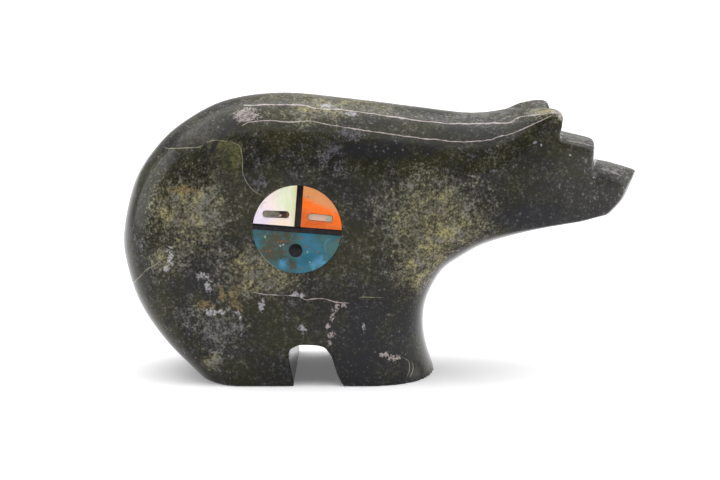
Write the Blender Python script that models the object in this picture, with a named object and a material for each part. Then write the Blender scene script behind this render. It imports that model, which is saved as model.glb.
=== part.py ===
"""A serpentine bear carving with a round sun-face inlay in its right flank.

Metres, +Z up. The bear looks along +X and stands on z = 0. The inlay is in its -Y side.
The carving is worked as the real one is: a slab is sawn to the side outline and rounded
over, the steps of the head are cut into it, then the head is ground narrower.
"""
import math

import bmesh
import bpy
from mathutils import Matrix, Vector

# Driving dimensions of the carving
LENGTH = 0.1205
THICKNESS = 0.035

# Driving dimensions of the inlay
DISC_RADIUS = 0.0100
PLATE_THICKNESS = 0.0020
BAR_WIDTH = 0.0012
UPRIGHT_WIDTH = 0.0013
DARK_EYE_LENGTH = 0.0058
PALE_EYE_LENGTH = 0.0054
EYE_WIDTH = 0.0014
MOUTH_RADIUS = 0.0015
CLEARANCE = 0.0003

# The middles of the eyes and of the mouth, as shares of the disc's radius, out from the
# middle and up from the black bar, and how far each eye is turned against the bar
EYE_OUT = 0.50
EYE_UP = 0.31
MOUTH_UP = -0.48
DARK_EYE_TILT = math.radians(-2.4)
PALE_EYE_TILT = math.radians(1.5)

# The free form is given in thousandths of the length: along x, up z, and then how far in
# from the outline the stone is rounded over. Each stretch is one smooth curve, and the
# stretches meet at corners. The outline runs clockwise and goes on below the floor.
BACK = (
    (-120, -230, 60), (-249, -116, 75), (-347, -8, 75), (-421, 68, 87), (-470, 142, 104),
    (-495, 222, 116), (-498, 286, 124), (-475, 378, 133), (-435, 441, 133), (-383, 489, 133),
    (-300, 532, 133), (-189, 547, 133), (-60, 536, 133), (70, 520, 124), (173, 508, 112),
    (242, 514, 75), (270, 525, 46), (300, 532, 26), (322, 531, 16), (337, 523, 12),
    (350, 510, 12), (362, 500, 12),
)
FOREHEAD = ((362, 500, 12), (499, 400, 12))
SNOUT = ((499, 400, 12), (486, 371, 13), (473, 344, 15), (446, 316, 19))
THROAT = (
    (446, 316, 19), (390, 304, 23), (339, 297, 25), (285, 285, 29), (204, 258, 50),
    (160, 232, 75), (123, 203, 100), (94, 149, 124), (87, 97, 133), (94, 48, 133),
    (109, 0, 129), (124, -50, 124), (150, -230, 60),
)
BELOW_FLOOR = ((150, -230, 60), (-120, -230, 60))

# The gap between the legs, as x and z
LEG_GAP = (
    (-60, -30), (-71, 0), (-83, 26), (-92, 57), (-105, 76), (-124, 79), (-153, 80),
    (-172, 71), (-174, 57), (-163, 0), (-160, -30),
)
# A step is the line of its floor down the middle of the head, and its section across the
# head: shares of half the thickness, and the drop below that line.
BROW_TOP = ((335, 476), (417, 458), (560, 428))
BROW_SECTION = ((0.0, 0), (0.5, -2), (0.8, -6), (1.05, -12), (2.0, -12))
EAR_LEAN = 0.18
MUZZLE_TOP = ((413, 418), (450, 411), (494, 396), (530, 382))
MUZZLE_SECTION = ((0.0, 0), (0.5, -2), (0.8, -7), (0.92, -15), (1.05, -36), (2.0, -36))
BROW_LEAN = 0.03
CUTTER_HEIGHT = 150

# The groove between the ears: the lowest line of a round cutter, front and rear
EAR_GROOVE_FRONT = (345, 490)
EAR_GROOVE_REAR = (253, 518)
EAR_GROOVE_RADIUS = 249

# The half width of the head against x, as a share of half the thickness, and how far the
# sides of each front face stand back from its middle
HALF_WIDTHS = (
    (83, 1.0), (207, 0.965), (280, 0.925), (325, 0.88), (365, 0.80), (415, 0.69),
    (465, 0.545), (505, 0.40),
)
BOW_START = 345
BOW_FULL = 415
BOW_DEPTH = 14

# The centre of the disc on the flank, and how far its bar dips towards the head
DISC_CENTRE = (-155.3, 302.2)
DISC_TILT = math.radians(4.5)

# Faces that meet at more than this angle are shaded with a sharp edge between them
CREASE = math.radians(35.0)

# How finely the curves are cut into faces, with the lines across and along the head, in
# thousandths and in shares of half the thickness, that give it points to be ground by
OUTLINE_STEP = 22
CURVE_SPANS = 16
WIDTH_STEP = 5
RIM_STEPS = 6
ROUND_POWER = 2.2
GROOVE_SIDES = 120
GROOVE_REACH = 2.0
DISC_SIDES = 72
SLOT_STEPS = 8
HEAD_LINES_ACROSS = range(100, 500, 25)
HEAD_LINES_ALONG = (-0.66, -0.33, 0.0, 0.33, 0.66)

# The stone or shell of each piece: the name, the linear colour and the roughness
FINISHES = {
    "bear_body": ("serpentine", (0.055, 0.060, 0.035), 0.25),
    "pearl_quarter": ("mother_of_pearl", (0.86, 0.80, 0.76), 0.22),
    "orange_quarter": ("orange_shell", (0.86, 0.20, 0.03), 0.25),
    "turquoise_half": ("turquoise", (0.06, 0.22, 0.27), 0.28),
    "jet_bar_across": ("jet_across", (0.012, 0.012, 0.016), 0.2),
    "jet_bar_upright": ("jet_upright", (0.012, 0.012, 0.016), 0.2),
    "jet_mouth": ("jet_mouth", (0.012, 0.012, 0.016), 0.2),
    "dark_eye": ("dark_shell", (0.09, 0.08, 0.06), 0.25),
    "pale_eye": ("pale_shell", (0.55, 0.48, 0.44), 0.25),
}


def share(thousandths):
    """A length in metres from thousandths of the carving's length."""
    return thousandths * LENGTH / 1000.0


def clear_scene():
    """Remove every object that the file starts with."""
    for item in list(bpy.data.objects):
        bpy.data.objects.remove(item)


def finish_of(node):
    """The polished, non-metallic material of a piece."""
    name, colour, roughness = FINISHES[node]
    material = bpy.data.materials.new(name)
    material.use_nodes = True
    shader = material.node_tree.nodes["Principled BSDF"]
    shader.inputs["Base Color"].default_value = (*colour, 1.0)
    shader.inputs["Roughness"].default_value = roughness
    shader.inputs["Metallic"].default_value = 0.0
    material.diffuse_color = (*colour, 1.0)
    return material


def mesh_object(name, bm):
    """Turn a bmesh into a linked object, smooth apart from its creases, in its own finish."""
    mesh = bpy.data.meshes.new(name)
    bmesh.ops.recalc_face_normals(bm, faces=bm.faces)
    bm.to_mesh(mesh)
    bm.free()
    mesh.shade_smooth()
    mesh.set_sharp_from_angle(angle=CREASE)
    if name in FINISHES:
        mesh.materials.append(finish_of(name))
    item = bpy.data.objects.new(name, mesh)
    bpy.context.collection.objects.link(item)
    return item


def make_cutter(name, bm):
    """A hidden wire-frame object that only cuts others."""
    cutter = mesh_object(name, bm)
    cutter.hide_render = True
    cutter.display_type = "WIRE"
    return cutter


def cut_away(item, cutter):
    """Cut one object out of another with a live Boolean."""
    modifier = item.modifiers.new(cutter.name, "BOOLEAN")
    modifier.operation = "DIFFERENCE"
    modifier.solver = "EXACT"
    modifier.object = cutter


def flatten_large_faces(item):
    """Let the large flat faces keep their own normals where they meet rounded ones."""
    modifier = item.modifiers.new("large_faces_flat", "WEIGHTED_NORMAL")
    modifier.keep_sharp = True


def smooth_curve(points, step):
    """Evenly spaced points on a smooth curve through the given ones, without its last point."""
    fine = []
    last = len(points) - 1
    for i in range(last):
        p0 = points[max(i - 1, 0)]
        p1 = points[i]
        p2 = points[i + 1]
        p3 = points[min(i + 2, last)]
        for j in range(CURVE_SPANS):
            t = j / CURVE_SPANS
            fine.append(tuple(
                0.5 * (2 * b + (c - a) * t + (2 * a - 5 * b + 4 * c - d) * t * t
                       + (3 * b - a - 3 * c + d) * t ** 3)
                for a, b, c, d in zip(p0, p1, p2, p3)))
    fine.append(tuple(float(value) for value in points[last]))
    lengths = [0.0]
    for a, b in zip(fine, fine[1:]):
        lengths.append(lengths[-1] + math.hypot(b[0] - a[0], b[1] - a[1]))
    count = max(1, round(lengths[-1] / step))
    result = []
    segment = 0
    for k in range(count):
        target = lengths[-1] * k / count
        while lengths[segment + 1] < target:
            segment += 1
        t = (target - lengths[segment]) / (lengths[segment + 1] - lengths[segment])
        result.append(tuple(a + (b - a) * t for a, b in zip(fine[segment], fine[segment + 1])))
    return result


def side_outline():
    """The closed outline of the stone before the head is stepped, as x, z and rounding depth."""
    outline = []
    for stretch in (BACK, FOREHEAD, SNOUT, THROAT, BELOW_FLOOR):
        outline.extend(smooth_curve(stretch, OUTLINE_STEP))
    return [tuple(share(value) for value in point) for point in outline]


def inward_normals(outline):
    """The direction into the stone at each point of a clockwise outline, as x and z."""
    normals = []
    for i, point in enumerate(outline):
        before = outline[i - 1]
        after = outline[(i + 1) % len(outline)]
        back = Vector((point[0] - before[0], point[1] - before[1])).normalized()
        ahead = Vector((after[0] - point[0], after[1] - point[1])).normalized()
        along = (back + ahead).normalized()
        normals.append((along.y, -along.x))
    return normals


def rounded_slab():
    """The sawn slab with both its faces rounded over to the outline, cut flat at the floor."""
    outline = side_outline()
    normals = inward_normals(outline)
    bm = bmesh.new()
    place = bm.verts.layers.int.new("place")
    rim = [bm.verts.new((x, 0.0, z)) for x, z, depth in outline]
    for i, vert in enumerate(rim):
        vert[place] = i
    edges = [bm.edges.new((vert, rim[(i + 1) % len(rim)])) for i, vert in enumerate(rim)]
    for k in range(1, RIM_STEPS + 1):
        angle = math.pi / 2.0 * k / RIM_STEPS
        sideways = math.sin(angle) ** (2.0 / ROUND_POWER)
        inwards = 1.0 - max(math.cos(angle), 0.0) ** (2.0 / ROUND_POWER)
        grown = bmesh.ops.extrude_edge_only(bm, edges=edges)["geom"]
        for vert in [part for part in grown if isinstance(part, bmesh.types.BMVert)]:
            x, z, depth = outline[vert[place]]
            nx, nz = normals[vert[place]]
            vert.co = (x + nx * depth * inwards, -sideways * THICKNESS / 2.0, z + nz * depth * inwards)
        new_verts = {part for part in grown if isinstance(part, bmesh.types.BMVert)}
        edges = [part for part in grown if isinstance(part, bmesh.types.BMEdge)
                 and all(vert in new_verts for vert in part.verts)]
    bmesh.ops.contextual_create(bm, geom=edges)
    near_half = bm.verts[:] + bm.edges[:] + bm.faces[:]
    bmesh.ops.mirror(bm, geom=near_half, matrix=Matrix(), merge_dist=0.0, axis="Y")
    middle = [vert for vert in bm.verts if abs(vert.co.y) < 1e-7]
    bmesh.ops.remove_doubles(bm, verts=middle, dist=1e-6)
    everything = bm.verts[:] + bm.edges[:] + bm.faces[:]
    cut = bmesh.ops.bisect_plane(
        bm, geom=everything, plane_co=(0.0, 0.0, 0.0), plane_no=(0.0, 0.0, 1.0), clear_inner=True)
    floor_edges = [part for part in cut["geom_cut"] if isinstance(part, bmesh.types.BMEdge)]
    bmesh.ops.contextual_create(bm, geom=floor_edges)
    return mesh_object("stone_blank", bm)


def side_prism(name, profile):
    """A cutter right through the slab, from a closed profile of x and z."""
    bm = bmesh.new()
    reach = THICKNESS
    verts = [bm.verts.new((share(x), -reach, share(z))) for x, z in profile]
    face = bm.faces.new(verts)
    grown = bmesh.ops.extrude_face_region(bm, geom=[face])["geom"]
    moved = [part for part in grown if isinstance(part, bmesh.types.BMVert)]
    bmesh.ops.translate(bm, verts=moved, vec=(0.0, 2.0 * reach, 0.0))
    return make_cutter(name, bm)


def step_cutter(name, floor_line, section, lean):
    """A cutter that steps the head down: its front end is the face that it leaves standing."""
    near = [(share_out * THICKNESS / 2.0, drop) for share_out, drop in section]
    near.append((near[-1][0], CUTTER_HEIGHT))
    across = [(-y, drop) for y, drop in reversed(near[1:])] + near
    bm = bmesh.new()
    behind = None
    for x, top in floor_line:
        ring = [bm.verts.new((share(x + drop * lean), y, share(top + drop))) for y, drop in across]
        if behind is None:
            bm.faces.new(ring)
        else:
            for i, vert in enumerate(ring):
                j = (i + 1) % len(ring)
                bm.faces.new((behind[i], behind[j], ring[j], vert))
        behind = ring
    bm.faces.new(behind)
    return make_cutter(name, bm)


def ear_groove_cutter():
    """A round bar whose lowest line runs down towards the front between the ears."""
    front = Vector((share(EAR_GROOVE_FRONT[0]), 0.0, share(EAR_GROOVE_FRONT[1])))
    rear = Vector((share(EAR_GROOVE_REAR[0]), 0.0, share(EAR_GROOVE_REAR[1])))
    radius = share(EAR_GROOVE_RADIUS)
    along = (front - rear).normalized()
    upwards = Vector((-along.z, 0.0, along.x))
    bm = bmesh.new()
    bmesh.ops.create_cone(
        bm, cap_ends=True, segments=GROOVE_SIDES, radius1=radius, radius2=radius,
        depth=(front - rear).length * GROOVE_REACH)
    turn = Vector((0.0, 0.0, 1.0)).rotation_difference(along).to_matrix()
    bmesh.ops.rotate(bm, verts=bm.verts, cent=(0.0, 0.0, 0.0), matrix=turn)
    bmesh.ops.translate(bm, verts=bm.verts, vec=(front + rear) / 2.0 + upwards * radius)
    return make_cutter("ear_groove_cutter", bm)


def half_width_share(x):
    """The head's half width at x, as a share of half the thickness."""
    curve = smooth_curve(HALF_WIDTHS, WIDTH_STEP) + [HALF_WIDTHS[-1]]
    if x <= share(curve[0][0]):
        return curve[0][1]
    for (x0, w0), (x1, w1) in zip(curve, curve[1:]):
        if x <= share(x1):
            return w0 + (w1 - w0) * (x - share(x0)) / (share(x1) - share(x0))
    return curve[-1][1]


def grind_head(bm):
    """Narrow the head towards the snout and bow its front faces, as a grinding wheel does."""
    for position in HEAD_LINES_ACROSS:
        everything = bm.verts[:] + bm.edges[:] + bm.faces[:]
        bmesh.ops.bisect_plane(
            bm, geom=everything, plane_co=(share(position), 0.0, 0.0), plane_no=(1.0, 0.0, 0.0))
    for side in HEAD_LINES_ALONG:
        head = [face for face in bm.faces if face.calc_center_median().x > share(BOW_START)]
        edges = list({edge for face in head for edge in face.edges})
        verts = list({vert for face in head for vert in face.verts})
        bmesh.ops.bisect_plane(
            bm, geom=verts + edges + head, plane_co=(0.0, side * THICKNESS / 2.0, 0.0),
            plane_no=(0.0, 1.0, 0.0))
    for vert in bm.verts:
        across = vert.co.y / (THICKNESS / 2.0)
        bow = (vert.co.x - share(BOW_START)) / (share(BOW_FULL) - share(BOW_START))
        bow = min(max(bow, 0.0), 1.0)
        vert.co.y *= half_width_share(vert.co.x)
        vert.co.x -= share(BOW_DEPTH) * bow * across * across


def bear_body():
    """The whole stone, finished but for the pocket of the inlay."""
    blank = rounded_slab()
    cutters = (
        ear_groove_cutter(),
        step_cutter("ear_front_cutter", BROW_TOP, BROW_SECTION, EAR_LEAN),
        step_cutter("brow_front_cutter", MUZZLE_TOP, MUZZLE_SECTION, BROW_LEAN),
        side_prism("leg_gap_cutter", LEG_GAP),
    )
    for cutter in cutters:
        cut_away(blank, cutter)
    carved = blank.evaluated_get(bpy.context.evaluated_depsgraph_get())
    bm = bmesh.new()
    bm.from_mesh(carved.to_mesh())
    for item in (blank, *cutters):
        bpy.data.objects.remove(item)
    bmesh.ops.remove_doubles(bm, verts=bm.verts, dist=1e-6)
    grind_head(bm)
    return mesh_object("bear_body", bm)


def disc_piece(name, left, right, low, high):
    """The part of the disc between four straight lines, as a plate with its face at y = 0."""
    bm = bmesh.new()
    bmesh.ops.create_circle(bm, cap_ends=True, radius=DISC_RADIUS, segments=DISC_SIDES)
    upright = Matrix.Rotation(math.pi / 2.0, 3, "X")
    bmesh.ops.rotate(bm, verts=bm.verts, cent=(0.0, 0.0, 0.0), matrix=upright)
    limits = (
        ((left, 0.0, 0.0), (-1.0, 0.0, 0.0)), ((right, 0.0, 0.0), (1.0, 0.0, 0.0)),
        ((0.0, 0.0, low), (0.0, 0.0, -1.0)), ((0.0, 0.0, high), (0.0, 0.0, 1.0)),
    )
    for point, outwards in limits:
        everything = bm.verts[:] + bm.edges[:] + bm.faces[:]
        bmesh.ops.bisect_plane(
            bm, geom=everything, plane_co=point, plane_no=outwards, clear_outer=True)
    thicken(bm, PLATE_THICKNESS)
    return mesh_object(name, bm)


def thicken(bm, depth):
    """Extrude the faces that lie at y = 0 into the flank."""
    grown = bmesh.ops.extrude_face_region(bm, geom=bm.faces[:])["geom"]
    moved = [part for part in grown if isinstance(part, bmesh.types.BMVert)]
    bmesh.ops.translate(bm, verts=moved, vec=(0.0, depth, 0.0))


def slot_shape(length, width, depth):
    """A slot with round ends, lying along x with its face at y = 0."""
    bm = bmesh.new()
    radius = width / 2.0
    points = []
    for end in (1.0, -1.0):
        for step in range(SLOT_STEPS + 1):
            angle = -math.pi / 2.0 + math.pi * step / SLOT_STEPS
            x = end * (length / 2.0 - radius + radius * math.cos(angle))
            points.append((x, 0.0, end * radius * math.sin(angle)))
    bm.faces.new([bm.verts.new(point) for point in points])
    thicken(bm, depth)
    return bm


def round_shape(radius, depth):
    """A round plug with its face at y = 0."""
    bm = bmesh.new()
    bmesh.ops.create_circle(bm, cap_ends=True, radius=radius, segments=DISC_SIDES // 2)
    upright = Matrix.Rotation(math.pi / 2.0, 3, "X")
    bmesh.ops.rotate(bm, verts=bm.verts, cent=(0.0, 0.0, 0.0), matrix=upright)
    thicken(bm, depth)
    return bm


def place_on_disc(item, disc, place=(0.0, 0.0), sunk=0.0, tilt=0.0):
    """Parent an object to the disc's empty and set and turn it in the disc's own plane."""
    item.parent = disc
    item.location = (place[0], sunk, place[1])
    item.rotation_euler = (0.0, tilt, 0.0)


def inlay(body):
    """The sun face: four plates and bars of the disc, two eyes and a mouth, and the pocket."""
    disc = bpy.data.objects.new("sun_face", None)
    bpy.context.collection.objects.link(disc)
    disc.location = (share(DISC_CENTRE[0]), -THICKNESS / 2.0, share(DISC_CENTRE[1]))
    disc.rotation_euler = (0.0, DISC_TILT, 0.0)

    beyond = 2.0 * DISC_RADIUS
    bar = BAR_WIDTH / 2.0
    post = UPRIGHT_WIDTH / 2.0
    low_edge = bar + CLEARANCE
    side_edge = post + CLEARANCE
    pearl = disc_piece("pearl_quarter", -beyond, -side_edge, low_edge, beyond)
    orange = disc_piece("orange_quarter", side_edge, beyond, low_edge, beyond)
    turquoise = disc_piece("turquoise_half", -beyond, beyond, -beyond, -low_edge)
    across = disc_piece("jet_bar_across", -beyond, beyond, -bar, bar)
    upright = disc_piece("jet_bar_upright", -post, post, low_edge, beyond)
    for plate in (pearl, orange, turquoise, across, upright):
        place_on_disc(plate, disc)

    deep = PLATE_THICKNESS + 2.0 * CLEARANCE
    eyes = (
        ("dark_eye", pearl, -EYE_OUT, DARK_EYE_LENGTH, DARK_EYE_TILT),
        ("pale_eye", orange, EYE_OUT, PALE_EYE_LENGTH, PALE_EYE_TILT),
    )
    for name, plate, out, length, tilt in eyes:
        place = (out * DISC_RADIUS, EYE_UP * DISC_RADIUS)
        eye = mesh_object(name, slot_shape(length, EYE_WIDTH, PLATE_THICKNESS))
        place_on_disc(eye, disc, place, tilt=tilt)
        slot = make_cutter(name + "_slot_cutter", slot_shape(
            length + 2.0 * CLEARANCE, EYE_WIDTH + 2.0 * CLEARANCE, deep))
        place_on_disc(slot, disc, place, -CLEARANCE, tilt)
        cut_away(plate, slot)

    mouth_place = (0.0, MOUTH_UP * DISC_RADIUS)
    mouth = mesh_object("jet_mouth", round_shape(MOUTH_RADIUS, PLATE_THICKNESS))
    place_on_disc(mouth, disc, mouth_place)
    hole = make_cutter("mouth_hole_cutter", round_shape(MOUTH_RADIUS + CLEARANCE, deep))
    place_on_disc(hole, disc, mouth_place, -CLEARANCE)
    cut_away(turquoise, hole)

    pocket = make_cutter("pocket_cutter", round_shape(DISC_RADIUS + CLEARANCE, deep))
    place_on_disc(pocket, disc, sunk=-CLEARANCE)
    cut_away(body, pocket)
    for item in (body, pearl, orange, turquoise):
        flatten_large_faces(item)


def main():
    clear_scene()
    inlay(bear_body())


main()
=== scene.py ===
# %% [markdown]
# A bear carved from serpentine, a dark green stone, stands on a white sheet. A round sun
# face is let into its right flank: mother-of-pearl, orange shell and turquoise, held apart
# by black strips. The imported model gives the true place and size of every piece. This
# script makes each piece again with a finer surface and gives it its stone or shell. The
# frame is loaded first and its box is kept, and the polished stone is held inside it.

# %% Load the imported model
import math

import bmesh
import bpy
from mathutils import Matrix, Vector


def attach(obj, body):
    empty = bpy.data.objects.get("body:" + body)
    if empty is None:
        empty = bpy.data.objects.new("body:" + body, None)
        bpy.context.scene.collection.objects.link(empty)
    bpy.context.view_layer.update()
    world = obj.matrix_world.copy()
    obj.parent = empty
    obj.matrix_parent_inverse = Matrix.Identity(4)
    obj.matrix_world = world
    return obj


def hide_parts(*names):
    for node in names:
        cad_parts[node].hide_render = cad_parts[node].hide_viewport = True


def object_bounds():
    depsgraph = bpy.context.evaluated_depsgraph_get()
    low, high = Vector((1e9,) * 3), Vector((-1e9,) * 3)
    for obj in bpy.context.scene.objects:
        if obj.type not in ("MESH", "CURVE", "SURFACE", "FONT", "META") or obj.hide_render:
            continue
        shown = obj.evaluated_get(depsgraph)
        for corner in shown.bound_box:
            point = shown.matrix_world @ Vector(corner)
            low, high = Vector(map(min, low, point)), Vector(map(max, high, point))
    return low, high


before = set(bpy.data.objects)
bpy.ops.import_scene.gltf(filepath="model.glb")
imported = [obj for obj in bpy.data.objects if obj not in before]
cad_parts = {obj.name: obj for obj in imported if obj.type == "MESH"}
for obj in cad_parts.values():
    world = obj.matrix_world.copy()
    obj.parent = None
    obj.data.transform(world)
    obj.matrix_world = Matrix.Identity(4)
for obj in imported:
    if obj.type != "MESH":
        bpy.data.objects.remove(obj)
cad_low, cad_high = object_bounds()
print("the packed model is", [round(size * 1000, 1) for size in cad_high - cad_low], "mm")

# %% [markdown]
# The carving was photographed from a low table height, a little above its middle, with a
# long lens. A camera that aims at a point needs only that point, a distance and a height
# angle, so its place is worked out from those three. A short distance with a wide lens
# would frame it as well, but would show more of its top and stretch its nose.

# %% Camera
MM = 0.001
LENS_LENGTH = 75.0
CAMERA_DISTANCE = 355 * MM
CAMERA_HEIGHT_ANGLE = math.radians(9.6)
CAMERA_NEAR_LIMIT = 10 * MM
AIM = Vector((-4.6, 0.0, 31.1)) * MM


def add_camera():
    """Put a camera at its distance from the aim, looking along +Y and slightly down."""
    camera = bpy.data.objects.new("camera", bpy.data.cameras.new("camera"))
    bpy.context.scene.collection.objects.link(camera)
    camera.data.lens = LENS_LENGTH
    camera.data.clip_start = CAMERA_NEAR_LIMIT
    backwards = Vector((0.0, -math.cos(CAMERA_HEIGHT_ANGLE), math.sin(CAMERA_HEIGHT_ANGLE)))
    camera.location = AIM + backwards * CAMERA_DISTANCE
    camera.rotation_euler = (math.pi / 2.0 - CAMERA_HEIGHT_ANGLE, 0.0, 0.0)
    bpy.context.scene.camera = camera
    return camera


camera = add_camera()
print("camera at", [round(value, 3) for value in camera.location])

# %% [markdown]
# Small things are photographed on a sheet of white paper that curves up behind them, so
# that no edge shows. One strip of paper gives the same: it starts as a single edge on the
# floor and is extruded back and up. It ends just above the picture, because a tall white wall
# would show as a grey fog on the polished top of the head.

# %% Paper sweep
SWEEP_HALF_WIDTH = 1.5
SWEEP_FRONT = -1.2
SWEEP_BEND_START = 0.55
SWEEP_BEND_RADIUS = 0.5
SWEEP_BEND = math.radians(45)
SWEEP_BEND_STEPS = 12
PAPER_COLOUR = (0.93, 0.922, 0.935, 1.0)
PAPER_ROUGHNESS = 0.9
PAPER_POLISH = 0.1
PAPER_GLOW = 0.14


def only(parts, kind):
    """The vertices or the edges among the mixed parts that an operator hands back."""
    return [part for part in parts if isinstance(part, kind)]


def extrude_edges(bm, edges, move):
    """Extrude a row of edges, move the new points and give back the new row."""
    grown = bmesh.ops.extrude_edge_only(bm, edges=edges)["geom"]
    verts = only(grown, bmesh.types.BMVert)
    bmesh.ops.translate(bm, verts=verts, vec=move)
    new = set(verts)
    return [edge for edge in only(grown, bmesh.types.BMEdge) if all(vert in new for vert in edge.verts)]


CREASE = math.radians(40)


def link_mesh(name, bm):
    """Make a linked object from a bmesh, smooth apart from its creases, and free the bmesh."""
    mesh = bpy.data.meshes.new(name)
    bm.to_mesh(mesh)
    bm.free()
    mesh.shade_smooth()
    mesh.set_sharp_from_angle(angle=CREASE)
    item = bpy.data.objects.new(name, mesh)
    bpy.context.scene.collection.objects.link(item)
    return item


def paper_sweep():
    """A strip of paper that lies flat and bends up behind the carving."""
    bm = bmesh.new()
    left = bm.verts.new((-SWEEP_HALF_WIDTH, SWEEP_FRONT, 0.0))
    right = bm.verts.new((SWEEP_HALF_WIDTH, SWEEP_FRONT, 0.0))
    row = [bm.edges.new((left, right))]
    row = extrude_edges(bm, row, (0.0, SWEEP_BEND_START - SWEEP_FRONT, 0.0))
    before = 0.0
    for step in range(1, SWEEP_BEND_STEPS + 1):
        angle = SWEEP_BEND * step / SWEEP_BEND_STEPS
        forward = (math.sin(angle) - math.sin(before)) * SWEEP_BEND_RADIUS
        upward = (math.cos(before) - math.cos(angle)) * SWEEP_BEND_RADIUS
        row = extrude_edges(bm, row, (0.0, forward, upward))
        before = angle
    bmesh.ops.recalc_face_normals(bm, faces=bm.faces)
    return link_mesh("paper", bm)


paper = paper_sweep()
paper_material = bpy.data.materials.new("paper")
paper_material.use_nodes = True
paper_shader = paper_material.node_tree.nodes["Principled BSDF"]
paper_shader.inputs["Base Color"].default_value = PAPER_COLOUR
paper_shader.inputs["Roughness"].default_value = PAPER_ROUGHNESS
paper_shader.inputs["Specular IOR Level"].default_value = PAPER_POLISH
paper_shader.inputs["Emission Color"].default_value = PAPER_COLOUR
paper_shader.inputs["Emission Strength"].default_value = PAPER_GLOW
paper.data.materials.append(paper_material)
print("paper has", len(paper.data.polygons), "faces")

# %% [markdown]
# Such a picture is taken in a small tent of white cloth, lit from above, with an opening in
# front for the lens. The polished stone mirrors it: white cloth along the back of the bear,
# the dark opening as a dark band below that, and the white paper in the flat flank. So the
# room is a sky of white with two darker parts, the opening and the space behind the paper,
# and soft boxes stand over it and at both sides. The plain tone curve keeps the paper white.
# A sky is a small tree of nodes, which a short class wires with one call for each node. The
# stones and shells below use the same class. Real walls would need many more samples.

# %% Light
SKY_STRENGTH = 0.86
OPENING_STRENGTH = 0.14
OPENING_TOP = 0.76
OPENING_SIDE = 0.85
BEHIND_STRENGTH = 0.42
BEHIND_TOP = 0.50
BEHIND_START = 0.1
BEHIND_FULL = 0.3
SOFT_EDGE = 0.10
# Each soft box: its place, the point it faces, its two sides in metres and its watts.
LIGHTS = {
    "soft_box_top": ((0.0, 0.05, 0.75), (0.0, 0.05, 0.0), (1.6, 0.98), 9.3),
    "soft_box_left": ((-0.9, 0.10, 0.35), (0.0, 0.0, 0.03), (0.6, 0.6), 3.0),
    "soft_box_right": ((0.9, 0.0, 0.35), (0.0, 0.0, 0.03), (0.6, 0.6), 4.2),
    "paper_light": ((0.0, 0.75, 0.9), (0.0, 0.75, 0.0), (1.6, 0.4), 2.0),
}


def add_soft_box(name, place, aim, size, power):
    """A rectangular area light at a place, turned to face a point."""
    light = bpy.data.lights.new(name, "AREA")
    light.shape = "RECTANGLE"
    light.size, light.size_y = size
    light.energy = power
    item = bpy.data.objects.new(name, light)
    bpy.context.scene.collection.objects.link(item)
    item.location = place
    item.rotation_euler = (Vector(aim) - Vector(place)).to_track_quat("-Z", "Y").to_euler()
    return item


class Wiring:
    """A node tree, with a short call for each kind of node that is added to it."""

    def __init__(self, tree):
        """Start from a tree that is there already."""
        self.tree = tree

    def add(self, kind, inputs=None, **settings):
        """Add a node, set it up, and give each input a value or a link."""
        node = self.tree.nodes.new(kind)
        for key, value in settings.items():
            setattr(node, key, value)
        for key, value in (inputs or {}).items():
            if isinstance(value, bpy.types.NodeSocket):
                self.tree.links.new(value, node.inputs[key])
            else:
                node.inputs[key].default_value = value
        return node

    def axes(self, place):
        """The x, y and z of a place."""
        return self.add("ShaderNodeSeparateXYZ", {0: place}).outputs

    def math(self, operation, a, b=0.0, c=0.0):
        """A sum, product or other operation on single values."""
        return self.add("ShaderNodeMath", {0: a, 1: b, 2: c}, operation=operation).outputs[0]

    def times(self, value, *others):
        """The product of several values."""
        for other in others:
            value = self.math("MULTIPLY", value, other)
        return value

    def step(self, value, low, high):
        """A soft step from 0 at low to 1 at high. It falls where low is above high."""
        inputs = {"Value": value, "From Min": low, "From Max": high}
        return self.add("ShaderNodeMapRange", inputs, interpolation_type="SMOOTHSTEP").outputs[0]


def tent_world():
    """A white sky with a dark opening low in front and a dimmer part low behind."""
    world = bpy.data.worlds.new("tent")
    world.use_nodes = True
    sky = Wiring(world.node_tree)
    across, back, up = sky.axes(sky.add("ShaderNodeTexCoord").outputs["Generated"])
    beside = sky.step(sky.math("ABSOLUTE", across), OPENING_SIDE + SOFT_EDGE, OPENING_SIDE)
    below = sky.step(up, OPENING_TOP + SOFT_EDGE, OPENING_TOP)
    opening = sky.times(beside, below, sky.step(back, 0.0, -SOFT_EDGE))
    behind = sky.times(sky.step(back, BEHIND_START, BEHIND_FULL),
                       sky.step(up, BEHIND_TOP + SOFT_EDGE, BEHIND_TOP))
    strength = SKY_STRENGTH
    for part, inside in ((opening, OPENING_STRENGTH), (behind, BEHIND_STRENGTH)):
        taken = sky.times(part, 1.0 - inside / SKY_STRENGTH)
        strength = sky.times(strength, sky.math("SUBTRACT", 1.0, taken))
    background = world.node_tree.nodes["Background"]
    sky.tree.links.new(strength, background.inputs["Strength"])
    background.inputs["Color"].default_value = (1.0, 1.0, 1.0, 1.0)
    return world


for light_name, (place, aim, size, power) in LIGHTS.items():
    add_soft_box(light_name, place, aim, size, power)
bpy.context.scene.world = tent_world()
bpy.context.scene.view_settings.view_transform = "Standard"
print("lights:", ", ".join(LIGHTS))

# %% [markdown]
# A carver of such bears starts with a slab, saws it to the side outline and grinds its
# edges round. The outline has few points, given in thousandths of the bear's length: along
# x, up z, and how far in the edge is rounded over. A smooth curve joins them, and it is
# read every half millimetre. Sculpting by hand would be the other way, but the photograph
# shows one clean outline, which a curve follows better.

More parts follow.
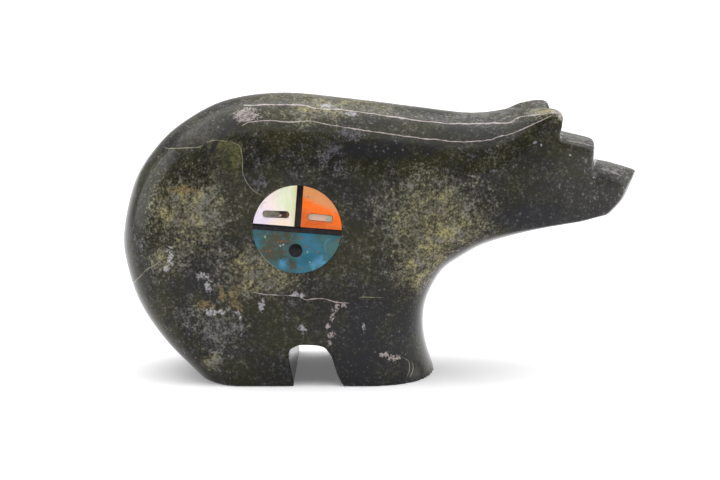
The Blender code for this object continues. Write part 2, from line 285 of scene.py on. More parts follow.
# %% Outline of the slab
LENGTH = 120.5 * MM
THICKNESS = 35.0 * MM
BACK = (
    (-120, -230, 60), (-249, -116, 75), (-347, -8, 75), (-421, 68, 87), (-470, 142, 104),
    (-495, 222, 116), (-498, 286, 124), (-475, 378, 133), (-435, 441, 133), (-383, 489, 133),
    (-300, 532, 133), (-189, 547, 133), (-60, 536, 133), (70, 520, 124), (173, 508, 112),
    (242, 514, 75), (270, 525, 46), (300, 532, 26), (322, 531, 16), (337, 523, 12),
    (350, 510, 12), (362, 500, 12),
)
FOREHEAD = ((362, 500, 12), (500, 403, 7))
SNOUT = ((500, 403, 7), (486, 371, 6), (473, 344, 7), (446, 316, 9))
THROAT = (
    (446, 316, 9), (390, 304, 12), (339, 297, 16), (285, 285, 24), (204, 258, 50),
    (160, 232, 75), (123, 203, 100), (94, 149, 124), (87, 97, 133), (94, 48, 133),
    (109, 0, 129), (124, -50, 124), (150, -230, 60),
)
BELOW_FLOOR = ((150, -230, 60), (-120, -230, 60))
OUTLINE_STEP = 5
CURVE_SPANS = 16


def share(thousandths):
    """A length in metres from thousandths of the bear's length."""
    return thousandths * LENGTH / 1000.0


def curve_through(points, step):
    """Evenly spaced points on a smooth curve through the given ones, without its last."""
    fine = []
    last = len(points) - 1
    for i in range(last):
        corners = (points[max(i - 1, 0)], points[i], points[i + 1], points[min(i + 2, last)])
        for j in range(CURVE_SPANS):
            t = j / CURVE_SPANS
            fine.append(tuple(
                0.5 * (2 * b + (c - a) * t + (2 * a - 5 * b + 4 * c - d) * t * t
                       + (3 * b - a - 3 * c + d) * t ** 3)
                for a, b, c, d in zip(*corners)))
    fine.append(tuple(float(value) for value in points[last]))
    lengths = [0.0]
    for a, b in zip(fine, fine[1:]):
        lengths.append(lengths[-1] + math.hypot(b[0] - a[0], b[1] - a[1]))
    count = max(1, round(lengths[-1] / step))
    result = []
    segment = 0
    for k in range(count):
        target = lengths[-1] * k / count
        while lengths[segment + 1] < target:
            segment += 1
        t = (target - lengths[segment]) / (lengths[segment + 1] - lengths[segment])
        result.append(tuple(a + (b - a) * t for a, b in zip(fine[segment], fine[segment + 1])))
    return result


outline = []
for stretch in (BACK, FOREHEAD, SNOUT, THROAT, BELOW_FLOOR):
    outline.extend(curve_through(stretch, OUTLINE_STEP))
print("outline has", len(outline), "points")

# %% [markdown]
# The rim of the slab is a ring of edges in its middle plane. It is extruded ring by ring
# towards the flank, and each ring is set further in, along a quarter of a fat ellipse. The
# number of each point is kept in a layer, because an extrusion hands back its new points in
# no order. The last ring is filled to make the flat flank, the half is mirrored, and the
# floor is cut with a plane. A Bevel modifier can't do this, because its width would be the
# same all round, and here it changes from a full shoulder to a crisp jaw.

# %% Rounded slab
ROUND_RINGS = 14
ROUND_POWER = 2.2
NORMAL_REACH = 4
ON_SEAM = 1e-7
MERGE_REACH = 1e-6


def inward_normals(points):
    """The direction into the stone at each point of a clockwise outline, as x and z.

    It is read from points a few steps away, so that the rings don't fold at a corner."""
    normals = []
    for i in range(len(points)):
        before = points[i - NORMAL_REACH]
        after = points[(i + NORMAL_REACH) % len(points)]
        along = Vector((after[0] - before[0], after[1] - before[1])).normalized()
        normals.append((along.y, -along.x))
    return normals


def whole(bm):
    """Every vertex, edge and face of a bmesh, as the operators want them."""
    return bm.verts[:] + bm.edges[:] + bm.faces[:]


def rounded_slab(points):
    """The sawn slab with both faces rounded over to the outline, flat at the floor."""
    normals = inward_normals(points)
    bm = bmesh.new()
    number = bm.verts.layers.int.new("number")
    rim = [bm.verts.new((share(x), 0.0, share(z))) for x, z, _ in points]
    for i, vert in enumerate(rim):
        vert[number] = i
    row = [bm.edges.new((vert, rim[(i + 1) % len(rim)])) for i, vert in enumerate(rim)]
    for ring in range(1, ROUND_RINGS + 1):
        angle = math.pi / 2.0 * ring / ROUND_RINGS
        sideways = math.sin(angle) ** (2.0 / ROUND_POWER)
        inwards = 1.0 - max(math.cos(angle), 0.0) ** (2.0 / ROUND_POWER)
        row = extrude_edges(bm, row, (0.0, 0.0, 0.0))
        for vert in {vert for edge in row for vert in edge.verts}:
            x, z, depth = points[vert[number]]
            nx, nz = normals[vert[number]]
            vert.co.x = share(x + nx * depth * inwards)
            vert.co.y = -sideways * THICKNESS / 2.0
            vert.co.z = share(z + nz * depth * inwards)
    bmesh.ops.contextual_create(bm, geom=row)
    bmesh.ops.mirror(bm, geom=whole(bm), matrix=Matrix(), merge_dist=0.0, axis="Y")
    middle = [vert for vert in bm.verts if abs(vert.co.y) < ON_SEAM]
    bmesh.ops.remove_doubles(bm, verts=middle, dist=MERGE_REACH)
    cut = bmesh.ops.bisect_plane(
        bm, geom=whole(bm), plane_co=(0.0, 0.0, 0.0), plane_no=(0.0, 0.0, 1.0), clear_inner=True)
    bmesh.ops.contextual_create(bm, geom=only(cut["geom_cut"], bmesh.types.BMEdge))
    bmesh.ops.recalc_face_normals(bm, faces=bm.faces)
    return link_mesh("bear", bm)


bear = rounded_slab(outline)
print("slab has", len(bear.data.polygons), "faces")

# %% [markdown]
# The head is cut in flat planes: a step at the ears, a step at the brow, and a round groove
# between the ears. The legs are parted by one notch. Each cut is a closed tool, extruded
# from its section along a short path and taken out with an exact Boolean, as a saw or a
# wheel would take it out. Pushing single points of the head about would never give such
# crisp, straight faces.

# %% Carving cuts
LEG_GAP = (
    (-60, -30), (-71, 0), (-83, 26), (-92, 57), (-105, 76), (-124, 79), (-153, 80),
    (-172, 71), (-174, 57), (-163, 0), (-160, -30),
)
BROW_TOP = ((335, 476), (417, 458), (560, 428))
# A section gives shares of the half width, and drops in thousandths of the bear's length.
BROW_SECTION = ((0.0, 0), (0.5, -2), (0.8, -6), (1.05, -12), (2.0, -12))
EAR_LEAN = 0.18
MUZZLE_TOP = ((413, 418), (450, 412), (494, 399), (530, 386))
MUZZLE_SECTION = ((0.0, 0), (0.5, -2), (0.8, -7), (0.92, -15), (1.05, -36), (2.0, -36))
BROW_LEAN = 0.03
CUTTER_HEIGHT = 150
EAR_GROOVE_FRONT = (345, 490)
EAR_GROOVE_REAR = (253, 518)
EAR_GROOVE_RADIUS = 249
GROOVE_SIDES = 96


def path_tool(name, section, path):
    """A closed tool: the outline of a section extruded along a path, with both ends filled."""
    bm = bmesh.new()
    start = bm.faces.new([bm.verts.new(Vector(path[0]) + Vector(point)) for point in section])
    row = list(start.edges)
    for here, there in zip(path, path[1:]):
        row = extrude_edges(bm, row, Vector(there) - Vector(here))
    bmesh.ops.contextual_create(bm, geom=row)
    bmesh.ops.recalc_face_normals(bm, faces=bm.faces)
    return link_mesh(name, bm)


def step_tool(name, floor_line, section, lean):
    """A tool that steps the head down. Its rear end is the face that it leaves standing."""
    near = [(half * THICKNESS / 2.0, drop) for half, drop in section]
    near.append((near[-1][0], CUTTER_HEIGHT))
    across = [(-y, drop) for y, drop in reversed(near[1:])] + near
    points = [(share(drop * lean), y, share(drop)) for y, drop in across]
    path = [(share(x), 0.0, share(z)) for x, z in floor_line]
    return path_tool(name, points, path)


def groove_tool():
    """A round bar whose lowest line runs down towards the front between the ears."""
    front = Vector((share(EAR_GROOVE_FRONT[0]), 0.0, share(EAR_GROOVE_FRONT[1])))
    rear = Vector((share(EAR_GROOVE_REAR[0]), 0.0, share(EAR_GROOVE_REAR[1])))
    radius = share(EAR_GROOVE_RADIUS)
    along = (front - rear).normalized()
    upwards = Vector((-along.z, 0.0, along.x))
    bm = bmesh.new()
    bmesh.ops.create_cone(
        bm, cap_ends=True, segments=GROOVE_SIDES, radius1=radius, radius2=radius,
        depth=(front - rear).length * 2.0)
    turn = Vector((0.0, 0.0, 1.0)).rotation_difference(along).to_matrix()
    bmesh.ops.rotate(bm, verts=bm.verts, cent=(0.0, 0.0, 0.0), matrix=turn)
    bmesh.ops.translate(bm, verts=bm.verts, vec=(front + rear) / 2.0 + upwards * radius)
    return link_mesh("groove_tool", bm)


def bake_modifiers(item):
    """Keep what the modifiers of an object make as its mesh, and drop the modifiers."""
    graph = bpy.context.evaluated_depsgraph_get()
    made = bpy.data.meshes.new_from_object(item.evaluated_get(graph))
    item.modifiers.clear()
    item.data = made


def cut_away(item, tools):
    """Take closed tools out of an object with exact Booleans, then delete the tools."""
    for tool in tools:
        modifier = item.modifiers.new(tool.name, "BOOLEAN")
        modifier.operation = "DIFFERENCE"
        modifier.solver = "EXACT"
        modifier.object = tool
    bake_modifiers(item)
    for tool in tools:
        bpy.data.objects.remove(tool)


gap_section = [(share(x), 0.0, share(z)) for x, z in LEG_GAP]
gap_path = [(0.0, -THICKNESS, 0.0), (0.0, THICKNESS, 0.0)]
cut_away(bear, [
    groove_tool(),
    step_tool("ear_front_tool", BROW_TOP, BROW_SECTION, EAR_LEAN),
    step_tool("brow_front_tool", MUZZLE_TOP, MUZZLE_SECTION, BROW_LEAN),
    path_tool("leg_gap_tool", gap_section, gap_path),
])
print("carved stone has", len(bear.data.polygons), "faces")

# %% [markdown]
# Grinding takes the head narrower towards the nose and bows its front faces, and polishing
# takes the sharpness off every edge. Both need points everywhere, so a voxel Remesh first
# turns the stone into an even net. A narrowing by a smooth curve moves the points of the
# head, and the far ear is drawn out a little, because its corner is sharper than the near
# one's. A few rounds of smoothing then wear the edges, just as polishing does: corners give
# way first and flat faces stay. A Bevel on a carved Boolean result would fail at the thin
# corners.

# %% Grinding and polishing
VOXEL = 0.52 * MM
HALF_WIDTHS = (
    (83, 1.0), (207, 0.965), (280, 0.925), (325, 0.88), (365, 0.80), (415, 0.69),
    (465, 0.545), (505, 0.40),
)
BOW_START = 345
BOW_FULL = 415
BOW_DEPTH = 14
FAR_EAR_X = (322, 344)
FAR_EAR_Z = (497, 530)
FAR_EAR_Y = (0.2, 0.6)
FAR_EAR_BACK = 9
FAR_EAR_UP = 13
POLISH_ROUNDS = 4
POLISH_STRENGTH = 0.5


def remesh(item, voxel):
    """Replace the mesh with an even net of squares of about one voxel."""
    modifier = item.modifiers.new("even_net", "REMESH")
    modifier.mode = "VOXEL"
    modifier.voxel_size = voxel
    modifier.adaptivity = 0.0
    bake_modifiers(item)


def half_width_share(curve, x):
    """The head's half width at x, as a share of half the thickness."""
    if x <= share(curve[0][0]):
        return curve[0][1]
    for (x0, w0), (x1, w1) in zip(curve, curve[1:]):
        if x <= share(x1):
            return w0 + (w1 - w0) * (x - share(x0)) / (share(x1) - share(x0))
    return curve[-1][1]


def ramp(value, start, end):
    """How far a value has come from a start to an end, kept between 0 and 1."""
    return min(max((value - start) / (end - start), 0.0), 1.0)


def grind_head(bm):
    """Narrow the head towards the snout and set the sides of its front faces back."""
    curve = curve_through(HALF_WIDTHS, OUTLINE_STEP) + [HALF_WIDTHS[-1]]
    for vert in bm.verts:
        across = vert.co.y / (THICKNESS / 2.0)
        bow = ramp(vert.co.x, share(BOW_START), share(BOW_FULL))
        vert.co.y *= half_width_share(curve, vert.co.x)
        vert.co.x -= share(BOW_DEPTH) * bow * across * across


def sharpen_far_ear(bm):
    """Set the top of the far ear back and up, because its front corner is the less worn one."""
    for vert in bm.verts:
        forward = ramp(vert.co.x, share(FAR_EAR_X[0]), share(FAR_EAR_X[1]))
        upward = ramp(vert.co.z, share(FAR_EAR_Z[0]), share(FAR_EAR_Z[1]))
        outward = ramp(vert.co.y / (THICKNESS / 2.0), *FAR_EAR_Y)
        vert.co.x -= share(FAR_EAR_BACK) * forward * upward * outward
        vert.co.z += share(FAR_EAR_UP) * forward * upward * outward


def polish(bm, rounds, strength):
    """Smooth the points a little at a time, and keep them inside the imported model's box."""
    for _ in range(rounds):
        bmesh.ops.smooth_vert(
            bm, verts=bm.verts, factor=strength, use_axis_x=True, use_axis_y=True, use_axis_z=True)
    for vert in bm.verts:
        for axis in range(3):
            vert.co[axis] = min(max(vert.co[axis], cad_low[axis]), cad_high[axis])


remesh(bear, VOXEL)
stone = bmesh.new()
stone.from_mesh(bear.data)
grind_head(stone)
sharpen_far_ear(stone)
polish(stone, POLISH_ROUNDS, POLISH_STRENGTH)
stone.to_mesh(bear.data)
stone.free()
bear.data.shade_smooth()
print("polished stone has", len(bear.data.polygons), "faces")

# %% [markdown]
# Each plate of the sun face is sawn to fit its neighbours, glued into a round pocket and
# ground flush with the flank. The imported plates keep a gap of 0.3 mm for safety in the
# checks. Here the same shapes are made again with only a hair of glue between them. Every
# plate is a disc cut by straight lines with bisect_plane, which leaves perfectly straight
# sides. They share one small frame: u along the black bar, v up from it.

# %% Pocket in the flank
DISC_CENTRE = Vector((share(-155.3), -THICKNESS / 2.0, share(302.2)))
DISC_TILT = math.radians(4.5)
DISC_RADIUS = 10.0 * MM
PLATE_THICKNESS = 2.0 * MM
PACKED_GAP = 0.3 * MM
GLUE = 0.06 * MM
DISC_SIDES = 192
TO_DISC = Matrix.Translation(DISC_CENTRE) @ Matrix.Rotation(DISC_TILT, 4, "Y")


def stand_up(bm):
    """Turn a face that was made lying flat up into the plane of the flank."""
    upright = Matrix.Rotation(math.pi / 2.0, 3, "X")
    bmesh.ops.rotate(bm, verts=bm.verts, cent=(0.0, 0.0, 0.0), matrix=upright)
    return bm


def disc_face(radius, sides=DISC_SIDES):
    """A bmesh with one round face in the plane of the flank."""
    bm = bmesh.new()
    bmesh.ops.create_circle(bm, cap_ends=True, radius=radius, segments=sides)
    return stand_up(bm)


def deepen(bm, depth):
    """Extrude the faces of a plate into the flank."""
    grown = bmesh.ops.extrude_face_region(bm, geom=bm.faces[:])["geom"]
    bmesh.ops.translate(bm, verts=only(grown, bmesh.types.BMVert), vec=(0.0, depth, 0.0))
    bmesh.ops.recalc_face_normals(bm, faces=bm.faces)


def set_in_disc(bm, place, tilt, sunk=0.0):
    """Turn a piece that was made at the middle of the disc and move it to its place there."""
    u, v = place
    to_place = Matrix.Translation((u, sunk, v)) @ Matrix.Rotation(tilt, 4, "Y")
    bmesh.ops.transform(bm, matrix=TO_DISC @ to_place, verts=bm.verts)


def cutting_tool(name, bm, depth, place=(0.0, 0.0), tilt=0.0):
    """A closed tool from a face, which stands out of the flank and cuts to a depth."""
    deepen(bm, depth + PACKED_GAP)
    set_in_disc(bm, place, tilt, -PACKED_GAP)
    return link_mesh(name, bm)


pocket_depth = PLATE_THICKNESS + GLUE
cut_away(bear, [cutting_tool("pocket_tool", disc_face(DISC_RADIUS + GLUE), pocket_depth)])
print("stone with its pocket has", len(bear.data.polygons), "faces")

# %% [markdown]
# The disc is laid out like a window: a black bar right across, a short black post above it,
# and three panes of shell and turquoise. Each is the whole disc, cut down by straight lines
# to its own share of it, so the round rim runs on from piece to piece. The edges of a real
# inlay are worn by the last polish, so each front edge gets a very small bevel, which also
# draws a fine light line round the piece. Separate curved shapes would fit less well.

# %% Plates and black bars
BAR_WIDTH = 1.2 * MM
UPRIGHT_WIDTH = 1.3 * MM
EDGE_WEAR = 0.04 * MM
WEAR_STEPS = 2


def keep_between(bm, left, right, low, high):
    """Cut the faces of a plate to the space between four straight lines."""
    limits = (
        ((left, 0.0, 0.0), (-1.0, 0.0, 0.0)), ((right, 0.0, 0.0), (1.0, 0.0, 0.0)),
        ((0.0, 0.0, low), (0.0, 0.0, -1.0)), ((0.0, 0.0, high), (0.0, 0.0, 1.0)),
    )
    for point, outwards in limits:
        bmesh.ops.bisect_plane(
            bm, geom=whole(bm), plane_co=point, plane_no=outwards, clear_outer=True)


def wear_front_edges(bm):
    """Bevel the edges round the front face, which lies at y = 0."""
    front = [edge for edge in bm.edges if all(abs(vert.co.y) < EDGE_WEAR for vert in edge.verts)]
    bmesh.ops.bevel(
        bm, geom=front, affect="EDGES", offset=EDGE_WEAR, offset_type="OFFSET",
        segments=WEAR_STEPS, profile=0.5, material=-1)


def plate(name, bm, place=(0.0, 0.0), tilt=0.0):
    """A plate or plug of full thickness from its face, set at its place in the disc."""
    deepen(bm, PLATE_THICKNESS)
    wear_front_edges(bm)
    set_in_disc(bm, place, tilt)
    return link_mesh(name, bm)


def disc_part(name, left, right, low, high):
    """The part of the disc between four straight lines."""
    bm = disc_face(DISC_RADIUS)
    keep_between(bm, left, right, low, high)
    return plate(name, bm)


beyond = 2.0 * DISC_RADIUS
bar_edge = BAR_WIDTH / 2.0
post_edge = UPRIGHT_WIDTH / 2.0
pearl_plate = disc_part("pearl_plate", -beyond, -post_edge - GLUE, bar_edge + GLUE, beyond)
orange_plate = disc_part("orange_plate", post_edge + GLUE, beyond, bar_edge + GLUE, beyond)
turquoise_plate = disc_part("turquoise_plate", -beyond, beyond, -beyond, -bar_edge - GLUE)
black_bar = disc_part("black_bar", -beyond, beyond, -bar_edge, bar_edge)
black_post = disc_part("black_post", -post_edge, post_edge, bar_edge + GLUE, beyond)
print("pearl plate has", len(pearl_plate.data.polygons), "faces")

# %% [markdown]
# The eyes are small bars of shell with worn ends and the mouth is a slice of a jet rod. The
# slot for each is drilled and filed to the same shape, a hair larger. A rectangle with its
# four corners rounded by a bevel gives both, and a stretched circle would be too pointed.

# %% Eyes and mouth
EYE_WIDTH = 1.4 * MM
EYE_GLUE = 0.11 * MM
EYE_OUT = 0.50
EYE_UP = 0.31
CORNER_STEPS = 10
# Each eye: length, corner radius, place along the bar as a share of the disc's radius, tilt.
EYES = {
    "dark_eye": (5.8 * MM, 0.62 * MM, -EYE_OUT, math.radians(-2.4)),
    "pale_eye": (5.4 * MM, 0.42 * MM, EYE_OUT, math.radians(1.5)),
}
MOUTH_RADIUS = 1.5 * MM
MOUTH_SIDES = 64
MOUTH = (0.0, -0.48 * DISC_RADIUS)


def bar_face(length, width, corner):
    """One face in the plane of the flank: a rectangle with rounded corners."""
    bm = bmesh.new()
    bmesh.ops.create_grid(bm, x_segments=1, y_segments=1, size=0.5)
    bmesh.ops.scale(bm, verts=bm.verts, vec=(length, width, 1.0))
    bmesh.ops.bevel(
        bm, geom=bm.verts[:], affect="VERTICES", offset=corner, offset_type="OFFSET",
        segments=CORNER_STEPS, profile=0.5, material=-1)
    return stand_up(bm)


def inlay_eye(name, socket):
    """An eye set in a plate: its slot is cut first, then the plug is made."""
    length, corner, out, tilt = EYES[name]
    place = (out * DISC_RADIUS, EYE_UP * DISC_RADIUS)
    hole = bar_face(length + 2.0 * EYE_GLUE, EYE_WIDTH + 2.0 * EYE_GLUE, corner + EYE_GLUE)
    cut_away(socket, [cutting_tool(name + "_slot", hole, pocket_depth, place, tilt)])
    return plate(name + "_plug", bar_face(length, EYE_WIDTH, corner), place, tilt)


dark_eye_plug = inlay_eye("dark_eye", pearl_plate)
pale_eye_plug = inlay_eye("pale_eye", orange_plate)
mouth_face = disc_face(MOUTH_RADIUS + GLUE, MOUTH_SIDES)
cut_away(turquoise_plate, [cutting_tool("mouth_hole", mouth_face, pocket_depth, MOUTH)])
mouth_plug = plate("mouth_plug", disc_face(MOUTH_RADIUS, MOUTH_SIDES), MOUTH)
print("the mouth plug has", len(mouth_plug.data.polygons), "faces")

# %% [markdown]
# A material is a small tree of nodes, and every tree here is built from the same few moves:
# blend two colours by a share, turn a value into a soft step, draw noise, draw specks. A
# class on top of the sky's wiring gives each move a name, so that a finish below reads as a
# recipe. The same trees could be wired by hand in the shader editor, which is slower to
# change. All patterns read Object coordinates, here in millimetres: the grain then runs
# through the stone and meets at every corner, as it does in the real one.

# %% A recipe for a material
STONE_IOR = 1.55
DEEP = 9.0
NEAR_SIDE = (4.0, 2.0)
BUMP_DEPTH = 0.02 * MM


class Recipe(Wiring):
    """One material and its node tree, with a short call for each thing that is drawn in it."""

    def __init__(self, name, polish, centre=(0.0, 0.0, 0.0), tilt=0.0):
        """Start a material that reads its place in millimetres from a centre."""
        self.material = bpy.data.materials.new(name)
        self.material.use_nodes = True
        super().__init__(self.material.node_tree)
        self.shader = self.tree.nodes["Principled BSDF"]
        self.shader.inputs["IOR"].default_value = STONE_IOR
        self.shader.inputs["Specular IOR Level"].default_value = polish
        place = self.add("ShaderNodeTexCoord").outputs["Object"]
        inputs = {"Vector": place, "Location": centre, "Rotation": (0.0, tilt, 0.0),
                  "Scale": (MM, MM, MM)}
        self.place = self.add("ShaderNodeMapping", inputs, vector_type="TEXTURE").outputs[0]

    def vector(self, operation, a, b=(0.0, 0.0, 0.0)):
        """An operation on vectors that gives a vector."""
        return self.add("ShaderNodeVectorMath", {0: a, 1: b}, operation=operation).outputs[0]

    def length(self, vector):
        """How long a vector is."""
        return self.add("ShaderNodeVectorMath", {0: vector}, operation="LENGTH").outputs["Value"]

    def blend(self, share_of_b, a, b, strength=1.0):
        """A colour between a and b. Colours are linear red, green and blue."""
        if strength < 1.0:
            share_of_b = self.times(share_of_b, strength)
        colours = [(*c, 1.0) if isinstance(c, tuple) else c for c in (a, b)]
        node = self.add("ShaderNodeMix", {0: share_of_b, 6: colours[0], 7: colours[1]},
                        data_type="RGBA")
        return node.outputs[2]

    def most(self, values):
        """The largest of several values."""
        result = values[0]
        for value in values[1:]:
            result = self.math("MAXIMUM", result, value)
        return result

    def noise(self, place, grain, detail=3.0, rough=0.5, colour=False):
        """Cloudy noise whose spots are about one grain wide, in millimetres."""
        inputs = {"Vector": place, "Scale": 0.5 / grain, "Detail": detail, "Roughness": rough}
        return self.add("ShaderNodeTexNoise", inputs).outputs["Color" if colour else "Fac"]

    def shaken(self, place, grain, reach):
        """The same place moved at random, by up to about half the reach."""
        shift = self.vector("SUBTRACT", self.noise(place, grain, colour=True), (0.5, 0.5, 0.5))
        shift = self.vector("MULTIPLY", shift, (reach, reach, reach))
        return self.vector("ADD", place, shift)

    def specks(self, place, spacing, size, kept):
        """Round specks, one to a cell, of random size. Only the share kept of them shows."""
        cells = self.add("ShaderNodeTexVoronoi", {"Vector": place, "Scale": 1.0 / spacing})
        chance = self.add("ShaderNodeSeparateColor", {0: cells.outputs["Color"]})
        radius = self.times(chance.outputs[1], size / spacing)
        inside = self.math("SUBTRACT", radius, cells.outputs["Distance"])
        dot = self.step(inside, 0.0, 0.3 * size / spacing)
        return self.times(dot, self.step(chance.outputs[0], 1.0 - kept, 1.01 - kept))

    def spot(self, place, centre, radii, soft=0.35, bite=0.0, grain=0.5):
        """An egg round a centre, 1 inside and 0 outside, with its edge bitten by a grain."""
        away = self.vector("SUBTRACT", place, centre)
        length = self.length(self.vector("DIVIDE", away, radii))
        if bite:
            length = self.math("MULTIPLY_ADD", grain, -bite, self.math("ADD", length, bite / 2.0))
        return self.step(length, 1.0 + soft, 1.0 - soft)

    def spots(self, place, spots, *edge):
        """Several eggs in one, each given by its centre and its radii."""
        return self.most([self.spot(place, *spot, *edge) for spot in spots])

    def dots(self, place, dots, *edge):
        """Round spots on the disc, each given by u, v and its radius."""
        return self.most([self.spot(place, (u, 0.0, v), (size, DEEP, size), *edge)
                          for u, v, size in dots])

    def window(self, place, *sides):
        """A share that is 1 in a part of the near flank and falls off at its four sides.

        Each side is the place where the share is 0 and the place where it is 1, first for
        the left and right side along x, then for the lower and upper side along z."""
        axes = self.axes(place)
        share_here = self.step(axes[1], *NEAR_SIDE)
        for axis, (outside, inside) in zip((0, 0, 2, 2), sides):
            share_here = self.times(share_here, self.step(axes[axis], outside, inside))
        return share_here

    def ring(self, place, centre, radius, width):
        """A round line on the disc."""
        flat = self.vector("MULTIPLY", self.vector("SUBTRACT", place, centre), (1.0, 0.0, 1.0))
        away = self.math("ABSOLUTE", self.math("SUBTRACT", self.length(flat), radius))
        return self.step(away, width, 0.3 * width)

    def finish(self, colour, roughness, height, strength):
        """Give the shader its colour, its roughness and a very shallow bump."""
        self.tree.links.new(colour, self.shader.inputs["Base Color"])
        self.tree.links.new(roughness, self.shader.inputs["Roughness"])
        bump = self.add("ShaderNodeBump", {"Strength": strength, "Distance": BUMP_DEPTH,
                                           "Height": height})
        self.tree.links.new(bump.outputs[0], self.shader.inputs["Normal"])
        return self.material


print("recipes read Object coordinates in millimetres")

# %% [markdown]
# A vein is a thin sheet of pale mineral that filled a crack, so on the surface it is a line.
# Its course is a list of a few places, joined by a Float Curve: the height z along x, or x
# along z for a steep one. The distance from that curve, shaken in long waves and again in
# short jags, gives a hairline whose width changes. Drawing it as noise would be quicker, but
# the two long veins along the back are what one knows this bear by, so they need their own
# course.

# %% Veins
VEIN_WAVES = (1.6, 0.5)
VEIN_JAGS = (0.5, 0.25)
VEIN_PATCHES = 0.8
VEIN_SWELL = 1.6
VEIN_THINNING = 0.3
VEIN_EDGE = (-0.06, 0.07)
VEIN_END = 0.5
NEAR_HALF = (-2.0, -5.0)
FAR_HALF = (0.0, 2.0)


def vein(recipe, course, width, steep=False, far=False, broken=0.0):
    """The share of vein at a place, for a sheet in the near or the far half of the stone."""
    place = recipe.shaken(recipe.shaken(recipe.place, *VEIN_WAVES), *VEIN_JAGS)
    axes = recipe.axes(place)
    run, height = (axes[2], axes[0]) if steep else (axes[0], axes[2])
    first, last = course[0][0], course[-1][0]
    low = min(point[1] for point in course) - 1.0
    high = max(point[1] for point in course) + 1.0
    along = recipe.add("ShaderNodeMapRange", {"Value": run, "From Min": first, "From Max": last})
    curve = recipe.add("ShaderNodeFloatCurve", {"Value": along.outputs[0]})
    line = curve.mapping.curves[0]
    places = [((x - first) / (last - first), (z - low) / (high - low)) for x, z in course]
    line.points[0].location = places[0]
    line.points[1].location = places[-1]
    for where in places[1:-1]:
        line.points.new(*where)
    curve.mapping.update()
    middle = recipe.math("MULTIPLY_ADD", curve.outputs[0], high - low, low)
    away = recipe.math("ABSOLUTE", recipe.math("SUBTRACT", height, middle))
    patchy = recipe.noise(recipe.place, VEIN_PATCHES)
    thinned = -width * (VEIN_THINNING + broken)
    half = recipe.math("MULTIPLY_ADD", patchy, width * VEIN_SWELL, thinned)
    line_share = recipe.step(recipe.math("SUBTRACT", half, away), *VEIN_EDGE)
    start, end = min(first, last), max(first, last)
    inside = recipe.times(recipe.step(run, start - VEIN_END, start + VEIN_END),
                          recipe.step(run, end + VEIN_END, end - VEIN_END))
    side = recipe.step(axes[1], *(FAR_HALF if far else NEAR_HALF))
    return recipe.times(line_share, inside, side)


print("veins wave by", VEIN_WAVES[1], "mm and jag by", VEIN_JAGS[1], "mm")

# %% [markdown]
# Serpentine is a dark ground crowded with lighter flecks. The ground changes slowly from
# near black to dark olive, with blue-black zones on the front leg, the neck and along the
# back, and a grey haze on the side of the head. Its grain has two sizes. The same grain
# bites the edge of every zone and mark below, so that nothing on the stone has a smooth rim.
# A photograph wrapped round the bear would be closer, but only on the side that it shows.

# %% Ground of the serpentine
STONE_POLISH = 0.11
NEAR_BLACK = (0.0133, 0.0133, 0.0106)
DARK_OLIVE = (0.0242, 0.0234, 0.0117)
BLUE_BLACK = (0.0195, 0.0195, 0.0227)
HALF_GREY = (0.0436, 0.042, 0.0425)
HAZE_STRENGTH = 0.4
COARSE_GRAIN = 0.56
FINE_GRAIN = 0.24
COARSE_SHARE = 0.46
BLUE_BLACK_ZONES = (
    ((-1, -12, 7), (13, 30, 15)), ((34, -16, 39), (8, 6, 3.5)), ((-38, -15, 24), (6, 6, 3)),
    ((-1, -14, 54), (14, 6, 2.5)), ((-56, 0, 24), (5, 12, 8)), ((18, 17, 52), (14, 6, 6)),
)
HEAD_HAZE = ((50, -10, 45.5), (17, 9, 11))


def stone_grain(recipe):
    """A coarse and a fine noise together."""
    coarse = recipe.noise(recipe.shaken(recipe.place, 0.7, 0.5), COARSE_GRAIN, 3.0, 0.65)
    fine = recipe.noise(recipe.place, FINE_GRAIN, 2.0, 0.6)
    return recipe.math("ADD", recipe.times(coarse, COARSE_SHARE),
                       recipe.times(fine, 1.0 - COARSE_SHARE))


def ground_tone(recipe, masks, broad):
    """The dark ground, which a broad noise and the masks of its zones colour."""
    ground = recipe.blend(recipe.step(broad, 0.36, 0.64), NEAR_BLACK, DARK_OLIVE)
    ground = recipe.blend(masks["blue"], ground, BLUE_BLACK, 0.9)
    return recipe.blend(masks["haze"], ground, HALF_GREY, HAZE_STRENGTH)


print("the ground has", len(BLUE_BLACK_ZONES), "blue-black zones")
